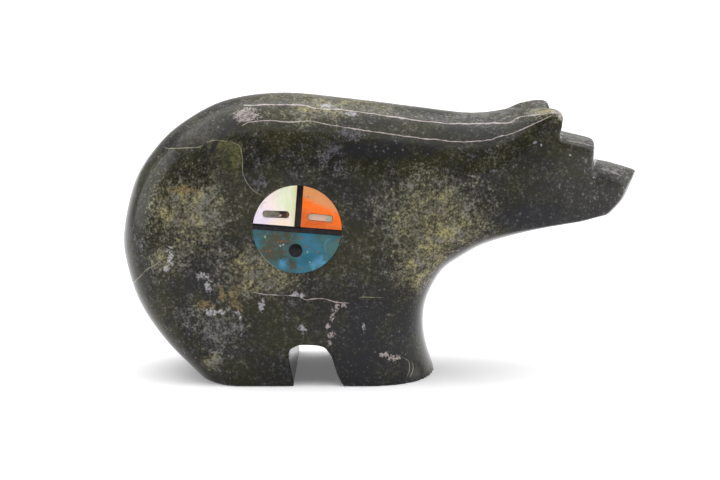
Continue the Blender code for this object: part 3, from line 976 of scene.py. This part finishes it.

# %% [markdown]
# Where the flecks are dense they make yellow-tan clouds, on the rump, the chest, the back
# and under the inlay. Grey clouds of denser flecks lie on the tops of the ears, the brow and
# the muzzle, where they are painted light that falls on those upward faces, and one lies low
# on the rear leg; all of them take a duller polish. Between the clouds only single flecks are
# left. So the grain draws the flecks everywhere: its level is raised by soft egg-shaped masks,
# a fine net and a slow drift, and two steps turn it into half tones and light flecks.
# Scattering single flecks would need thousands of them.

# %% Flecks of the serpentine
HALF_OLIVE = (0.052, 0.0504, 0.0289)
HALF_TAN = (0.0945, 0.0851, 0.0533)
GREY_GREEN = (0.188, 0.182, 0.172)
YELLOW_TAN = (0.333, 0.301, 0.131)
FLECK_CLOUDS = (
    ((-43, -17, 40), (8, 10, 8)), ((-48, -12, 31), (4, 8, 5)), ((-28, -17, 26), (9, 8, 5.5)),
    ((-38.5, -17, 5.5), (2, 9, 1.5)), ((12, -17, 38), (11, 10, 9)), ((9, -15, 29), (7, 8, 8)),
    ((-8, -3, 66), (18, 10, 5)), ((39.5, -13, 62.6), (5, 6, 1.8)), ((-15, -10, 62), (9, 5, 2.5)),
    ((-5, 18, 33), (17, 11, 12)), ((-42, 17, 26), (10, 8, 13)), ((34, 16, 50), (9, 7, 6)),
)
# Grey clouds: the first five are painted light on the upward faces of the head, the last is a grey
# patch on the rear leg.
GREY_CLOUDS_AND_TOP_LIGHT = (
    ((36.5, -10, 62.6), (8, 8, 2.0)), ((38, 12, 63), (8, 7, 2.6)), ((26, -4, 61.2), (12, 10, 2.0)),
    ((45, -4, 55.6), (5, 9, 2.0)), ((53.5, -3, 49.1), (4, 6, 1.4)), ((-37, -17, 14), (6, 9, 6)),
)
FLECK_BASE = -0.09
FLECK_WEIGHTS = {
    "cloud": 0.125, "grey": 0.12, "haze": 0.035, "blue": -0.05, "net": 0.025, "drift": 0.09,
}


def fleck_masks(recipe, grain):
    """How strongly each thing is there that makes flecks denser or rarer."""
    loose = recipe.shaken(recipe.place, 5.0, 7.0)
    shaken = recipe.shaken(recipe.place, 0.8, 1.0)
    cells = recipe.add("ShaderNodeTexVoronoi", {"Vector": shaken, "Scale": 0.75},
                       feature="DISTANCE_TO_EDGE")
    return {
        "cloud": recipe.spots(loose, FLECK_CLOUDS, 0.75, 1.0, grain),
        "grey": recipe.spots(loose, GREY_CLOUDS_AND_TOP_LIGHT, 0.5, 1.0, grain),
        "haze": recipe.spot(loose, *HEAD_HAZE, 0.5),
        "blue": recipe.spots(loose, BLUE_BLACK_ZONES, 0.4, 1.5, grain),
        "net": recipe.step(cells.outputs["Distance"], 0.30, 0.02),
        "drift": recipe.step(recipe.noise(recipe.place, 2.5, 3.0, 0.6), 0.35, 0.65),
    }


def fleck_density(recipe, masks, grain):
    """The grain, raised where flecks are dense and lowered where they are rare."""
    level = FLECK_BASE
    for name, weight in FLECK_WEIGHTS.items():
        level = recipe.math("MULTIPLY_ADD", masks[name], weight, level)
    return recipe.math("ADD", grain, level)


def flecked(recipe, ground, masks, broad, density):
    """The ground with its half tones and its light flecks."""
    tint = recipe.noise(recipe.place, 1.8, 4.0, 0.7)
    tint = recipe.times(recipe.math("ADD", broad, tint), 0.5)
    half_tone = recipe.blend(recipe.step(tint, 0.44, 0.55), HALF_GREY, HALF_OLIVE)
    half_tone = recipe.blend(masks["haze"], half_tone, HALF_GREY, HAZE_STRENGTH)
    half_tone = recipe.blend(recipe.step(masks["cloud"], 0.0, 0.9), half_tone, HALF_TAN)
    stone = recipe.blend(recipe.step(density, 0.40, 0.60), ground, half_tone)
    warm = recipe.step(recipe.noise(recipe.place, 1.6, 3.0, 0.6), 0.40, 0.62)
    full_tone = recipe.blend(recipe.times(warm, masks["cloud"]), GREY_GREEN, YELLOW_TAN)
    return recipe.blend(recipe.step(density, 0.54, 0.74), stone, full_tone)


print("the stone has", len(FLECK_CLOUDS), "clouds of tan flecks")

# %% [markdown]
# One would know this stone again by a few marks: an olive patch on the rump with a brighter
# edge, white and ochre blotches below it, lilac ones behind the shoulder and a broken pink
# streak down the leg. Each is a group of small eggs at its place, in one colour, with ragged
# edges and the grain showing through. A table gives every group its colour, its strength, how
# soft its edge is and how deep the grain bites it. The marks of the far side are made up.

# %% Marks of the serpentine
OLIVE_GREEN = (0.065, 0.064, 0.0346)
OLIVE_GOLD = (0.118, 0.113, 0.048)
LILAC_GREY = (0.162, 0.151, 0.179)
GREY_BROWN = (0.084, 0.076, 0.062)
MILK_WHITE = (0.493, 0.476, 0.496)
OCHRE = (0.224, 0.162, 0.063)
PINK_CREAM = (0.493, 0.426, 0.415)
OLIVE_PATCH = ((-39.2, -37.6), (-30.7, -31.3), (42.0, 49.0), (56.2, 55.6))
OLIVE_CORNER = ((-33.2, -17, 53.6), (3.0, 5, 3.6))
OLIVE_EDGE = (((-35.2, -17, 55.5), (2.8, 5, 1.1)), ((-32.2, -17, 53.0), (1.2, 5, 3.0)))
GREY_BROWN_PATCH = (((-41, -12, 57.6), (5.5, 5, 2.2)),)
PINK_BLOTCH = (((-30.3, -12, 61.6), (2.4, 3, 1.6)), ((40.6, -13, 62.3), (2.2, 5, 0.8)))
WHITE_BLOBS = (
    ((-47.4, -17, 30.6), (0.6, 4, 1.6)), ((-48.6, -17, 27.4), (0.5, 3, 0.7)),
    ((-40.2, -17, 26.0), (0.9, 3, 0.7)), ((-38.9, -17, 23.4), (0.5, 3, 1.4)),
    ((-38.0, -17, 17.4), (1.4, 2, 0.5)), ((-35.9, -17, 17.4), (1.0, 2, 0.5)),
    ((-32.2, -17, 17.4), (0.7, 2, 0.8)), ((-27.0, -17, 18.8), (0.6, 2, 1.1)),
    ((-17.5, -17, 13.6), (0.6, 2, 1.2)), ((-18.8, -17, 21.3), (1.7, 2, 0.4)),
    ((-3.5, -17, 14.0), (0.35, 2, 1.0)),
    ((-31.5, 17, 33.0), (1.2, 3, 2.4)), ((12.0, 16, 20.0), (1.0, 3, 1.8)),
)
OCHRE_BLOBS = (
    ((-39.8, -17, 18.8), (1.6, 3, 0.8)), ((-35.9, -17, 21.6), (0.9, 3, 1.1)),
    ((-32.8, -17, 21.0), (1.0, 3, 2.2)), ((-31.9, -17, 18.2), (0.7, 3, 1.0)),
    ((-44.0, -17, 45.3), (3.0, 4, 0.8)), ((-20, 17, 44), (3.0, 3, 2.0)),
)
LILAC_BLOBS = (
    ((-7.0, -15, 57.6), (2.6, 2, 1.1)), ((-10.5, -16.5, 54.3), (1.4, 2, 1.3)),
    ((-12.5, -17, 52.2), (0.9, 2, 1.4)), ((-9.3, -17, 49.8), (1.0, 2, 1.2)),
    ((-27.0, -17, 47.0), (1.6, 2, 1.4)), ((-54.0, -11, 33), (1.2, 4, 1.6)),
    ((25.3, -17, 49.4), (1.1, 2, 0.4)), ((40, 15, 47), (2.2, 3, 1.4)),
)
HEAD_SPECKS = (
    ((34.5, -16, 55.8), (0.3, 2, 0.25)), ((35.9, -16, 55.1), (0.2, 2, 0.25)),
    ((42.6, -14, 52.7), (0.25, 2, 0.25)), ((48.5, -12, 47.4), (0.2, 2, 0.2)),
    ((20.7, -17, 48.5), (0.5, 2, 0.18)), ((-6.4, -10, 62.0), (1.4, 2, 0.6)),
    ((-12.0, -8, 63.2), (1.3, 2, 0.6)),
)
LEG_SPECKS = (
    ((-9.8, -17, 18.3), (0.45, 2, 1.1)), ((-10.7, -17, 16.6), (0.5, 2, 1.0)),
    ((-11.9, -17, 14.6), (0.5, 2, 0.8)), ((-11.0, -17, 12.4), (0.6, 2, 1.1)),
    ((-11.5, -17, 10.4), (0.4, 2, 0.6)), ((-8.4, -17, 19.0), (0.6, 2, 0.4)),
    ((0.9, -17, 7.2), (0.9, 2, 0.35)), ((2.4, -17, 6.6), (1.0, 2, 0.55)),
    ((4.0, -17, 6.2), (1.1, 2, 0.5)),
)
# Each group: colour, strength, softness of the edge, bite of the grain, and its eggs.
MARKS = (
    (OLIVE_GOLD, 0.7, 0.6, 2.0, OLIVE_EDGE), (GREY_BROWN, 0.55, 0.5, 1.5, GREY_BROWN_PATCH),
    (LILAC_GREY, 0.45, 0.5, 5.0, LILAC_BLOBS), (OCHRE, 0.65, 0.5, 3.5, OCHRE_BLOBS),
    (PINK_CREAM, 0.6, 0.3, 4.0, PINK_BLOTCH), (PINK_CREAM, 0.75, 0.4, 5.0, LEG_SPECKS),
    (MILK_WHITE, 0.75, 0.4, 5.0, WHITE_BLOBS), (MILK_WHITE, 0.6, 0.4, 2.0, HEAD_SPECKS),
)
# Specks: the shake of the place, then spacing, size and share kept, then strength.
SMALL_SPECKS = ((0.4, 0.4), (0.9, 0.36, 0.4), 0.4)
LARGE_SPECKS = ((0.5, 0.6), (2.6, 0.44, 0.35), 0.6)


def marked(recipe, stone, grain):
    """The stone with its olive patch, its groups of marks and its scattered specks."""
    ragged = recipe.shaken(recipe.place, 2.0, 2.2)
    mottle = recipe.math("MULTIPLY_ADD", recipe.step(grain, 0.42, 0.58), 0.7, 0.3)
    patch = recipe.window(recipe.shaken(recipe.place, 1.0, 0.7), *OLIVE_PATCH)
    corner = recipe.spot(ragged, *OLIVE_CORNER, 0.5, 1.0, grain)
    corner = recipe.math("MULTIPLY_ADD", corner, 0.5, 0.5)
    stone = recipe.blend(recipe.times(patch, corner, mottle), stone, OLIVE_GREEN)
    for colour, strength, soft, bite, spots in MARKS:
        shares = recipe.times(recipe.spots(ragged, spots, soft, bite, grain), strength, mottle)
        stone = recipe.blend(shares, stone, colour)
    for shake, sizes, strength in (SMALL_SPECKS, LARGE_SPECKS):
        specks = recipe.specks(recipe.shaken(recipe.place, *shake), *sizes)
        stone = recipe.blend(specks, stone, LILAC_GREY, strength)
    return stone


print("the stone has", sum(len(row[-1]) for row in MARKS), "marks")

# %% [markdown]
# Two pink-white veins run side by side along the back and meet at the near ear. Thinner
# green ones edge the olive patch, cross the rump and loop on the front leg, and two dark
# cracks run down the chest and over the hip. Places are in millimetres, and a steep vein
# lists its height first. The table gives each group a colour and a strength, and each vein
# its width. They come last, because a vein cuts through flecks and marks alike. The courses
# on the far side are made up.

# %% Courses of the veins
PALE_GREEN = (0.291, 0.286, 0.185)
UPPER_VEIN = (
    (-31, 63.6), (-26, 63.8), (-18, 63.7), (-14.6, 63.1), (-8, 62.6), (-2.8, 61.9), (4.5, 60.9),
    (12.2, 59.9), (18.1, 59.5), (24.3, 59.6), (29.1, 59.9), (30.7, 60.7), (33.2, 61.6), (37, 62.2),
)
LOWER_VEIN = (
    (-31, 59.5), (-25.2, 60.6), (-20, 60.3), (-17, 60.5), (-11.3, 59.6), (-2.8, 58.3), (4.4, 57.3),
    (12, 56.4), (20, 55.9), (24, 56.2), (26.6, 57), (30.4, 58.1), (35.3, 60.6), (38, 61.8),
)
BROW_VEIN = ((42.2, 56.0), (45.3, 55.3), (48.4, 54.4))
MUZZLE_VEIN = ((50.6, 49.2), (53.1, 48.4), (55.4, 47.5))
BELLY_VEIN = (
    (-28.3, 21.9), (-24, 21.4), (-18.4, 21.2), (-16.6, 20.4), (-13.7, 20.6), (-9, 19.6),
    (-7.2, 19.5),
)
BELLY_DASH = ((-4.8, 20.8), (-3, 20.9), (0.2, 20.7))
RUMP_VEIN = ((-58, 21.5), (-55, 24.8), (-53, 26.8), (-50.7, 28.4), (-48.6, 30.1))
HIP_VEIN = ((-49, 53.9), (-44, 54.4), (-40.5, 54.8), (-38.7, 56.0), (-34.5, 56.1))
PATCH_EDGE = (
    (43.8, -24.5), (44.9, -28), (46.7, -29.6), (48.8, -30.6), (52.8, -30.9), (54.8, -31.4),
    (55.8, -32.8), (56.3, -34.5),
)
CHEST_CRACK = ((24, 11.6), (35, 12.2), (43, 12.6), (47, 12.4))
DARK_CRACK = ((53.5, -38.2), (56, -36.6), (58.5, -34.5), (61, -32.5))
LEG_GREEN_VEIN = ((1.8, 6.3), (3.4, 6.8), (4.8, 6.7), (5.7, 5.9), (6.1, 5.2))
LEG_GREEN_DASH = ((1.5, 7.0), (2.8, 7.6), (4.2, 7.6), (4.7, 7.3))
FAR_VEIN = ((-52, 47), (-36, 43), (-14, 45), (8, 36), (20, 33))
FAR_SHORT_VEIN = ((-30, 12), (-22, 22), (-8, 26))
# Each group: colour, strength, and for each vein its course, its width and its ways.
VEINS = (
    (NEAR_BLACK, 0.6, ((CHEST_CRACK, 0.26, {"steep": True, "broken": 0.1}),)),
    (BLUE_BLACK, 0.85, ((DARK_CRACK, 1.1, {"steep": True}),)),
    (PALE_GREEN, 0.8, (
        (RUMP_VEIN, 0.22, {}), (HIP_VEIN, 0.16, {"broken": 0.08}),
        (PATCH_EDGE, 0.24, {"steep": True, "broken": 0.16}),
        (LEG_GREEN_VEIN, 0.2, {"steep": True}), (LEG_GREEN_DASH, 0.16, {"steep": True}),
        (BELLY_DASH, 0.18, {"broken": 0.15}), (FAR_SHORT_VEIN, 0.3, {"far": True}),
    )),
    (PINK_CREAM, 0.9, (
        (UPPER_VEIN, 0.17, {}), (LOWER_VEIN, 0.15, {}), (BELLY_VEIN, 0.24, {"broken": 0.18}),
        (FAR_VEIN, 0.35, {"far": True}),
    )),
    (PINK_CREAM, 0.3, ((BROW_VEIN, 0.3, {}), (MUZZLE_VEIN, 0.3, {}))),
)


def veined(recipe, stone):
    """The stone with its cracks and veins."""
    for colour, strength, group in VEINS:
        lines = recipe.most([vein(recipe, course, width, **way) for course, width, way in group])
        stone = recipe.blend(lines, stone, colour, strength)
    return stone


print("the stone has", sum(len(row[-1]) for row in VEINS), "veins and cracks")

# %% [markdown]
# The stone is now put together as it formed: ground, flecks, marks, veins. The polish isn't
# even either. The soft light flecks take it worse than the hard dark ground, so the roughness
# follows the density of the flecks, and the tops of the head, where grey flecks are painted
# light, are a little duller still. One roughness for all would make the bear look wet or dusty.

# %% Serpentine


def serpentine():
    """The stone of the carving."""
    recipe = Recipe("serpentine", STONE_POLISH)
    grain = stone_grain(recipe)
    broad = recipe.noise(recipe.place, 8.0, 5.0, 0.6)
    masks = fleck_masks(recipe, grain)
    density = fleck_density(recipe, masks, grain)
    stone = flecked(recipe, ground_tone(recipe, masks, broad), masks, broad, density)
    stone = veined(recipe, marked(recipe, stone, grain))
    roughness = recipe.math("MULTIPLY_ADD", density, 0.22, 0.07)
    # The grey clouds, which paint the light on the tops of the head, also make the polish duller.
    roughness = recipe.math("MULTIPLY_ADD", masks["grey"], 0.1, roughness)
    return recipe.finish(stone, roughness, grain, 0.6)


bear.data.materials.append(serpentine())
print("serpentine has", len(bear.data.materials[0].node_tree.nodes), "nodes")

# %% [markdown]
# The black strips and the mouth are jet, a hard coal that takes a high polish. It isn't
# quite black: a faint purple-brown cloud runs through it, and the last sanding leaves fine
# scratches along the strip. Both come from noise, the scratches from one stretched ten times.
# The inlay's materials share one frame, whose middle is the middle of the disc.

# %% Jet
INLAY_POLISH = 0.12
JET_BLACK = (0.0087, 0.0079, 0.0095)
JET_BROWN = (0.021, 0.0168, 0.0185)
SCRATCH_STRETCH = (0.3, 1.0, 3.0)


def inlay_recipe(name):
    """A recipe whose place is in millimetres from the middle of the disc, along its bar."""
    return Recipe(name, INLAY_POLISH, DISC_CENTRE, DISC_TILT)


def jet():
    """Polished jet."""
    recipe = inlay_recipe("jet")
    cloud = recipe.noise(recipe.place, 1.0, 4.0, 0.6)
    colour = recipe.blend(recipe.step(cloud, 0.45, 0.65), JET_BLACK, JET_BROWN)
    scratch = recipe.noise(recipe.vector("MULTIPLY", recipe.place, SCRATCH_STRETCH), 0.15, 2.0)
    return recipe.finish(colour, recipe.math("MULTIPLY_ADD", scratch, 0.3, 0.05), scratch, 0.2)


jet_material = jet()
for item in (black_bar, black_post, mouth_plug):
    item.data.materials.append(jet_material)
print("jet on", black_bar.name, black_post.name, mouth_plug.name)

# %% [markdown]
# Mother-of-pearl is white, but its thin layers split the light, so it turns from lavender at
# the outer end through pink to a pale green and yellow beside the post. Thin-film colours in
# the shader would slide as the camera moves and are lost in an export. Here the colours lie
# where the photograph shows them, as wide soft spots with growth lines drawn across them.

# %% Mother-of-pearl
PEARL_PINK = (0.96, 0.79, 0.775)
PEARL_LAVENDER = (0.83, 0.725, 0.88)
PEARL_GREEN = (0.721, 0.787, 0.514)
PEARL_YELLOW = (0.721, 0.688, 0.37)
PEARL_PEACH = (0.98, 0.79, 0.62)
PEARL_WHITE = (0.884, 0.854, 0.843)
HAIR_CRACK = (0.267, 0.258, 0.249)
GROWTH_STRETCH = (1.6, 1.0, 0.35)
# Each tint: colour, middle, radii and softness of its spot, in millimetres on the disc.
PEARL_TINTS = (
    (PEARL_LAVENDER, (-9.4, 0.0, 1.2), (3.4, DEEP, 3.6), 0.7),
    (PEARL_PEACH, (-3.6, 0.0, 1.0), (2.6, DEEP, 0.9), 0.7),
    (PEARL_GREEN, (-2.4, 0.0, 7.0), (3.0, DEEP, 3.6), 0.6),
)


def mother_of_pearl():
    """The shell of the upper left quarter."""
    recipe = inlay_recipe("mother_of_pearl")
    loose = recipe.shaken(recipe.place, 2.0, 1.6)
    colour = PEARL_PINK
    for tint, centre, radii, soft in PEARL_TINTS:
        colour = recipe.blend(recipe.spot(loose, centre, radii, soft), colour, tint)
    beside_post = recipe.step(recipe.axes(loose)[0], -2.2, -0.9)
    colour = recipe.blend(beside_post, colour, PEARL_YELLOW)
    lines = recipe.noise(recipe.vector("MULTIPLY", loose, GROWTH_STRETCH), 0.5, 3.0, 0.6)
    colour = recipe.blend(recipe.step(lines, 0.40, 0.70), colour, PEARL_WHITE, 0.4)
    arc = recipe.times(recipe.ring(recipe.place, (-7.0, 0.0, 4.4), 1.35, 0.08),
                       recipe.spot(recipe.place, (-8.1, 0.0, 5.1), (0.9, DEEP, 1.2)))
    colour = recipe.blend(arc, colour, HAIR_CRACK, 0.7)
    return recipe.finish(colour, recipe.math("MULTIPLY_ADD", lines, 0.2, 0.08), lines, 0.1)


pearl_plate.data.materials.append(mother_of_pearl())
print("pearl on", pearl_plate.name)

# %% [markdown]
# The orange quarter is spiny oyster shell. It is paler towards its outer rim, strongest in
# a slanting band across the middle and duller below, with a few grey pits where a worm has
# been. The band is a sum of u and v, run through soft steps, because a ring would follow the
# rim of the disc and the shell's own layers don't.

# %% Orange shell
ORANGE_PALE = (0.71, 0.293, 0.112)
ORANGE_BRIGHT = (0.97, 0.165, 0.0113)
ORANGE_DULL = (0.69, 0.125, 0.017)
PIT_GREY = (0.267, 0.214, 0.178)
BAND_SLANT = 0.4
LAYER_STRETCH = (0.4, 1.0, 1.8)
PITS = (
    (1.9, 7.6, 0.26), (1.05, 7.55, 0.14), (3.5, 6.7, 0.16), (2.4, 4.45, 0.18), (8.2, 4.5, 0.14),
    (7.2, 2.0, 0.24), (1.2, 1.5, 0.12), (8.6, 1.6, 0.10),
)


def orange_shell():
    """The shell of the upper right quarter."""
    recipe = inlay_recipe("orange_shell")
    axes = recipe.axes(recipe.shaken(recipe.place, 1.6, 1.4))
    band = recipe.math("MULTIPLY_ADD", axes[0], BAND_SLANT, axes[2])
    layers = recipe.noise(recipe.vector("MULTIPLY", recipe.place, LAYER_STRETCH), 0.4, 4.0, 0.6)
    band = recipe.math("MULTIPLY_ADD", layers, 2.0, recipe.math("SUBTRACT", band, 1.0))
    colour = recipe.blend(recipe.step(band, 6.2, 4.0), ORANGE_BRIGHT, ORANGE_DULL)
    colour = recipe.blend(recipe.step(band, 6.8, 8.8), colour, ORANGE_PALE)
    grain = recipe.noise(recipe.place, 0.4, 4.0, 0.65)
    colour = recipe.blend(recipe.step(grain, 0.5, 0.7), colour, ORANGE_PALE, 0.3)
    pits = recipe.dots(recipe.shaken(recipe.place, 0.3, 0.3), PITS, 0.5)
    colour = recipe.blend(pits, colour, PIT_GREY, 0.7)
    return recipe.finish(colour, recipe.math("MULTIPLY_ADD", grain, 0.2, 0.12), grain, 0.1)


orange_plate.data.materials.append(orange_shell())
print("orange shell on", orange_plate.name)

# %% [markdown]
# The lower half is turquoise with the brown of its mother rock in it. Blue and teal cloud
# into each other, the rock fills the middle of the left side, and small rust-red specks lie
# all over. The large patches and the specks that show are listed one by one, and noise bites
# their edges. Noise alone gave a stone of the right colours that was clearly another one.

# %% Turquoise
TEAL = (0.0378, 0.116, 0.124)
SKY_BLUE = (0.034, 0.153, 0.226)
PALE_BLUE = (0.085, 0.296, 0.469)
ROCK_BROWN = (0.065, 0.059, 0.0336)
ROCK_GREEN = (0.056, 0.14, 0.138)
RUST = (0.187, 0.085, 0.031)
LEAF_GREEN = (0.249, 0.374, 0.178)
ICE = (0.267, 0.32, 0.374)
RIM_TAN = (0.267, 0.249, 0.196)
BLUE_PATCHES = (
    (3.6, -4.6, 2.6), (1.6, -8.0, 2.0), (-2.4, -8.2, 1.4), (-8.9, -3.6, 0.9), (2.4, -1.6, 1.8),
)
PALE_PATCHES = ((6.0, -6.8, 1.2), (-2.6, -7.6, 1.0), (4.4, -7.8, 0.8))
ROCK_PATCHES = (
    (-4.6, -3.0, 3.0), (-5.8, -5.6, 2.0), (-1.8, -1.6, 1.8), (-0.7, -8.2, 1.2), (-3.0, -5.2, 1.6),
)
GREEN_PATCHES = ((8.2, -3.6, 1.5), (6.4, -1.0, 0.8), (-7.0, -4.4, 1.2))
RUST_SPECKS = (
    (0.95, -1.85, 0.30), (-4.1, -3.2, 0.24), (-3.4, -2.9, 0.24), (-5.7, -5.3, 0.28),
    (-6.6, -5.5, 0.20), (-4.9, -1.3, 0.20), (9.1, -1.7, 0.28), (2.1, -3.8, 0.22),
    (5.1, -4.8, 0.24), (2.0, -8.5, 0.18), (-6.6, -3.0, 0.18), (-2.2, -2.8, 0.16),
)
GREEN_FLECKS = ((-7.1, -2.1, 0.22), (-7.0, -2.35, 0.18), (2.7, -4.9, 0.20), (3.4, -7.2, 0.18))
ICE_SPOTS = ((-3.5, -3.95, 0.24), (-2.9, -3.7, 0.22))
# Each group: patches, softness of the edge, bite of the grain, colour and strength.
BLUES = (
    (BLUE_PATCHES, 0.5, 2.0, SKY_BLUE, 1.0), (PALE_PATCHES, 0.7, 3.0, PALE_BLUE, 0.8),
    (GREEN_PATCHES, 0.4, 2.0, ROCK_GREEN, 1.0),
)


def turquoise():
    """The stone of the lower half."""
    recipe = inlay_recipe("turquoise")
    loose = recipe.shaken(recipe.place, 1.8, 3.0)
    near = recipe.shaken(recipe.place, 0.35, 0.35)
    grain = recipe.noise(recipe.place, 0.5, 4.0, 0.65)
    colour = TEAL
    for patches, soft, bite, tone, strength in BLUES:
        shares = recipe.dots(loose, patches, soft, bite, grain)
        colour = recipe.blend(shares, colour, tone, strength)
    rock = recipe.times(recipe.dots(loose, ROCK_PATCHES, 0.5, 3.0, grain), 0.9)
    stray = recipe.times(recipe.step(grain, 0.52, 0.66), 0.45)
    colour = recipe.blend(recipe.most([rock, stray]), colour, ROCK_BROWN)
    haze = recipe.step(recipe.noise(loose, 0.7, 4.0, 0.7), 0.5, 0.7)
    colour = recipe.blend(haze, colour, SKY_BLUE, 0.4)
    arc = recipe.times(
        recipe.ring(recipe.shaken(recipe.place, 1.0, 1.2), (9.0, 0.0, -3.2), 2.45, 0.4),
        recipe.spot(near, (6.6, 0.0, -2.6), (1.6, DEEP, 2.0), 0.5))
    colour = recipe.blend(arc, colour, PALE_BLUE, 0.28)
    rim = recipe.times(recipe.ring(recipe.place, (0.0, 0.0, 0.0), 9.9, 0.16),
                       recipe.spot(near, (-6.6, 0.0, -7.4), (3.2, DEEP, 2.2), 0.4))
    colour = recipe.blend(rim, colour, RIM_TAN, 0.7)
    for dots, tone in ((RUST_SPECKS, RUST), (GREEN_FLECKS, LEAF_GREEN), (ICE_SPOTS, ICE)):
        colour = recipe.blend(recipe.dots(near, dots, 0.4), colour, tone)
    return recipe.finish(colour, recipe.math("MULTIPLY_ADD", grain, 0.25, 0.12), grain, 0.15)


turquoise_plate.data.materials.append(turquoise())
print("turquoise on", turquoise_plate.name)

# %% [markdown]
# The two eyes are slips of darker shell. The left one is grey-olive with fine streaks along it,
# then turns dark brown with an orange-brown end; two tiny peach dots in its dark part are a
# painted highlight. The right one is pinkish with grey-green ends. Both change along u only,
# so a few soft steps on one axis are enough, and a streaky noise, stretched along the slip,
# runs through them.

# %% Shell of the eyes
SHELL_OLIVE = (0.102, 0.093, 0.07)
SHELL_LIGHT = (0.231, 0.209, 0.16)
SHELL_BROWN = (0.0358, 0.0234, 0.0208)
SHELL_AMBER = (0.169, 0.08, 0.027)
SHELL_PEACH = (0.654, 0.426, 0.312)
SHELL_PINK = (0.616, 0.373, 0.325)
SHELL_GREEN = (0.356, 0.338, 0.249)
STREAK_STRETCH = (0.35, 1.0, 2.5)
# Two tiny peach dots in the dark part of the left eye: a painted highlight.
PAINTED_HIGHLIGHT_DOTS = ((-3.95, 2.95, 0.20), (-4.1, 2.8, 0.14))


def eye_recipe(name):
    """A recipe for a slip of shell, with its streaks and its two axes."""
    recipe = inlay_recipe(name)
    streaks = recipe.noise(recipe.vector("MULTIPLY", recipe.place, STREAK_STRETCH), 0.3, 3.0, 0.6)
    return recipe, streaks, recipe.axes(recipe.shaken(recipe.place, 0.5, 0.4))


def dark_shell():
    """The shell of the left eye."""
    recipe, streaks, axes = eye_recipe("dark_shell")
    colour = recipe.blend(recipe.step(streaks, 0.42, 0.66), SHELL_OLIVE, SHELL_LIGHT)
    colour = recipe.blend(recipe.step(axes[0], -6.2, -7.6), colour, SHELL_LIGHT)
    colour = recipe.blend(recipe.step(axes[0], -4.35, -4.15), colour, SHELL_BROWN)
    colour = recipe.blend(recipe.step(axes[0], -3.0, -2.3), colour, SHELL_AMBER)
    # The peach dots are a painted highlight on the dark shell.
    colour = recipe.blend(recipe.dots(recipe.place, PAINTED_HIGHLIGHT_DOTS, 0.4), colour, SHELL_PEACH)
    return recipe.finish(colour, recipe.math("MULTIPLY_ADD", streaks, 0.2, 0.1), streaks, 0.1)


def pale_shell():
    """The shell of the right eye."""
    recipe, streaks, axes = eye_recipe("pale_shell")
    colour = recipe.blend(recipe.step(streaks, 0.35, 0.65), SHELL_PINK, SHELL_PEACH)
    colour = recipe.blend(recipe.step(axes[0], 5.4, 7.2), colour, SHELL_GREEN)
    colour = recipe.blend(recipe.step(axes[0], 3.6, 2.6), colour, SHELL_GREEN, 0.6)
    colour = recipe.blend(recipe.step(axes[2], 3.2, 3.7), colour, SHELL_GREEN, 0.5)
    return recipe.finish(colour, recipe.math("MULTIPLY_ADD", streaks, 0.2, 0.1), streaks, 0.1)


dark_eye_plug.data.materials.append(dark_shell())
pale_eye_plug.data.materials.append(pale_shell())
print("shell on", dark_eye_plug.name, pale_eye_plug.name)

# %% [markdown]
# Each piece now takes the place of its imported node, which is hidden, and rides on the one
# body of the carving.

# %% Hand over
PIECES = (
    (bear, "serpentine", "bear_body"),
    (pearl_plate, "mother_of_pearl", "pearl_quarter"),
    (orange_plate, "orange_shell", "orange_quarter"),
    (turquoise_plate, "turquoise", "turquoise_half"),
    (black_bar, "jet", "jet_bar_across"),
    (black_post, "jet", "jet_bar_upright"),
    (mouth_plug, "jet", "jet_mouth"),
    (dark_eye_plug, "dark_shell", "dark_eye"),
    (pale_eye_plug, "pale_shell", "pale_eye"),
)
for item, slot, node in PIECES:
    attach(item, "root")
    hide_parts(node)
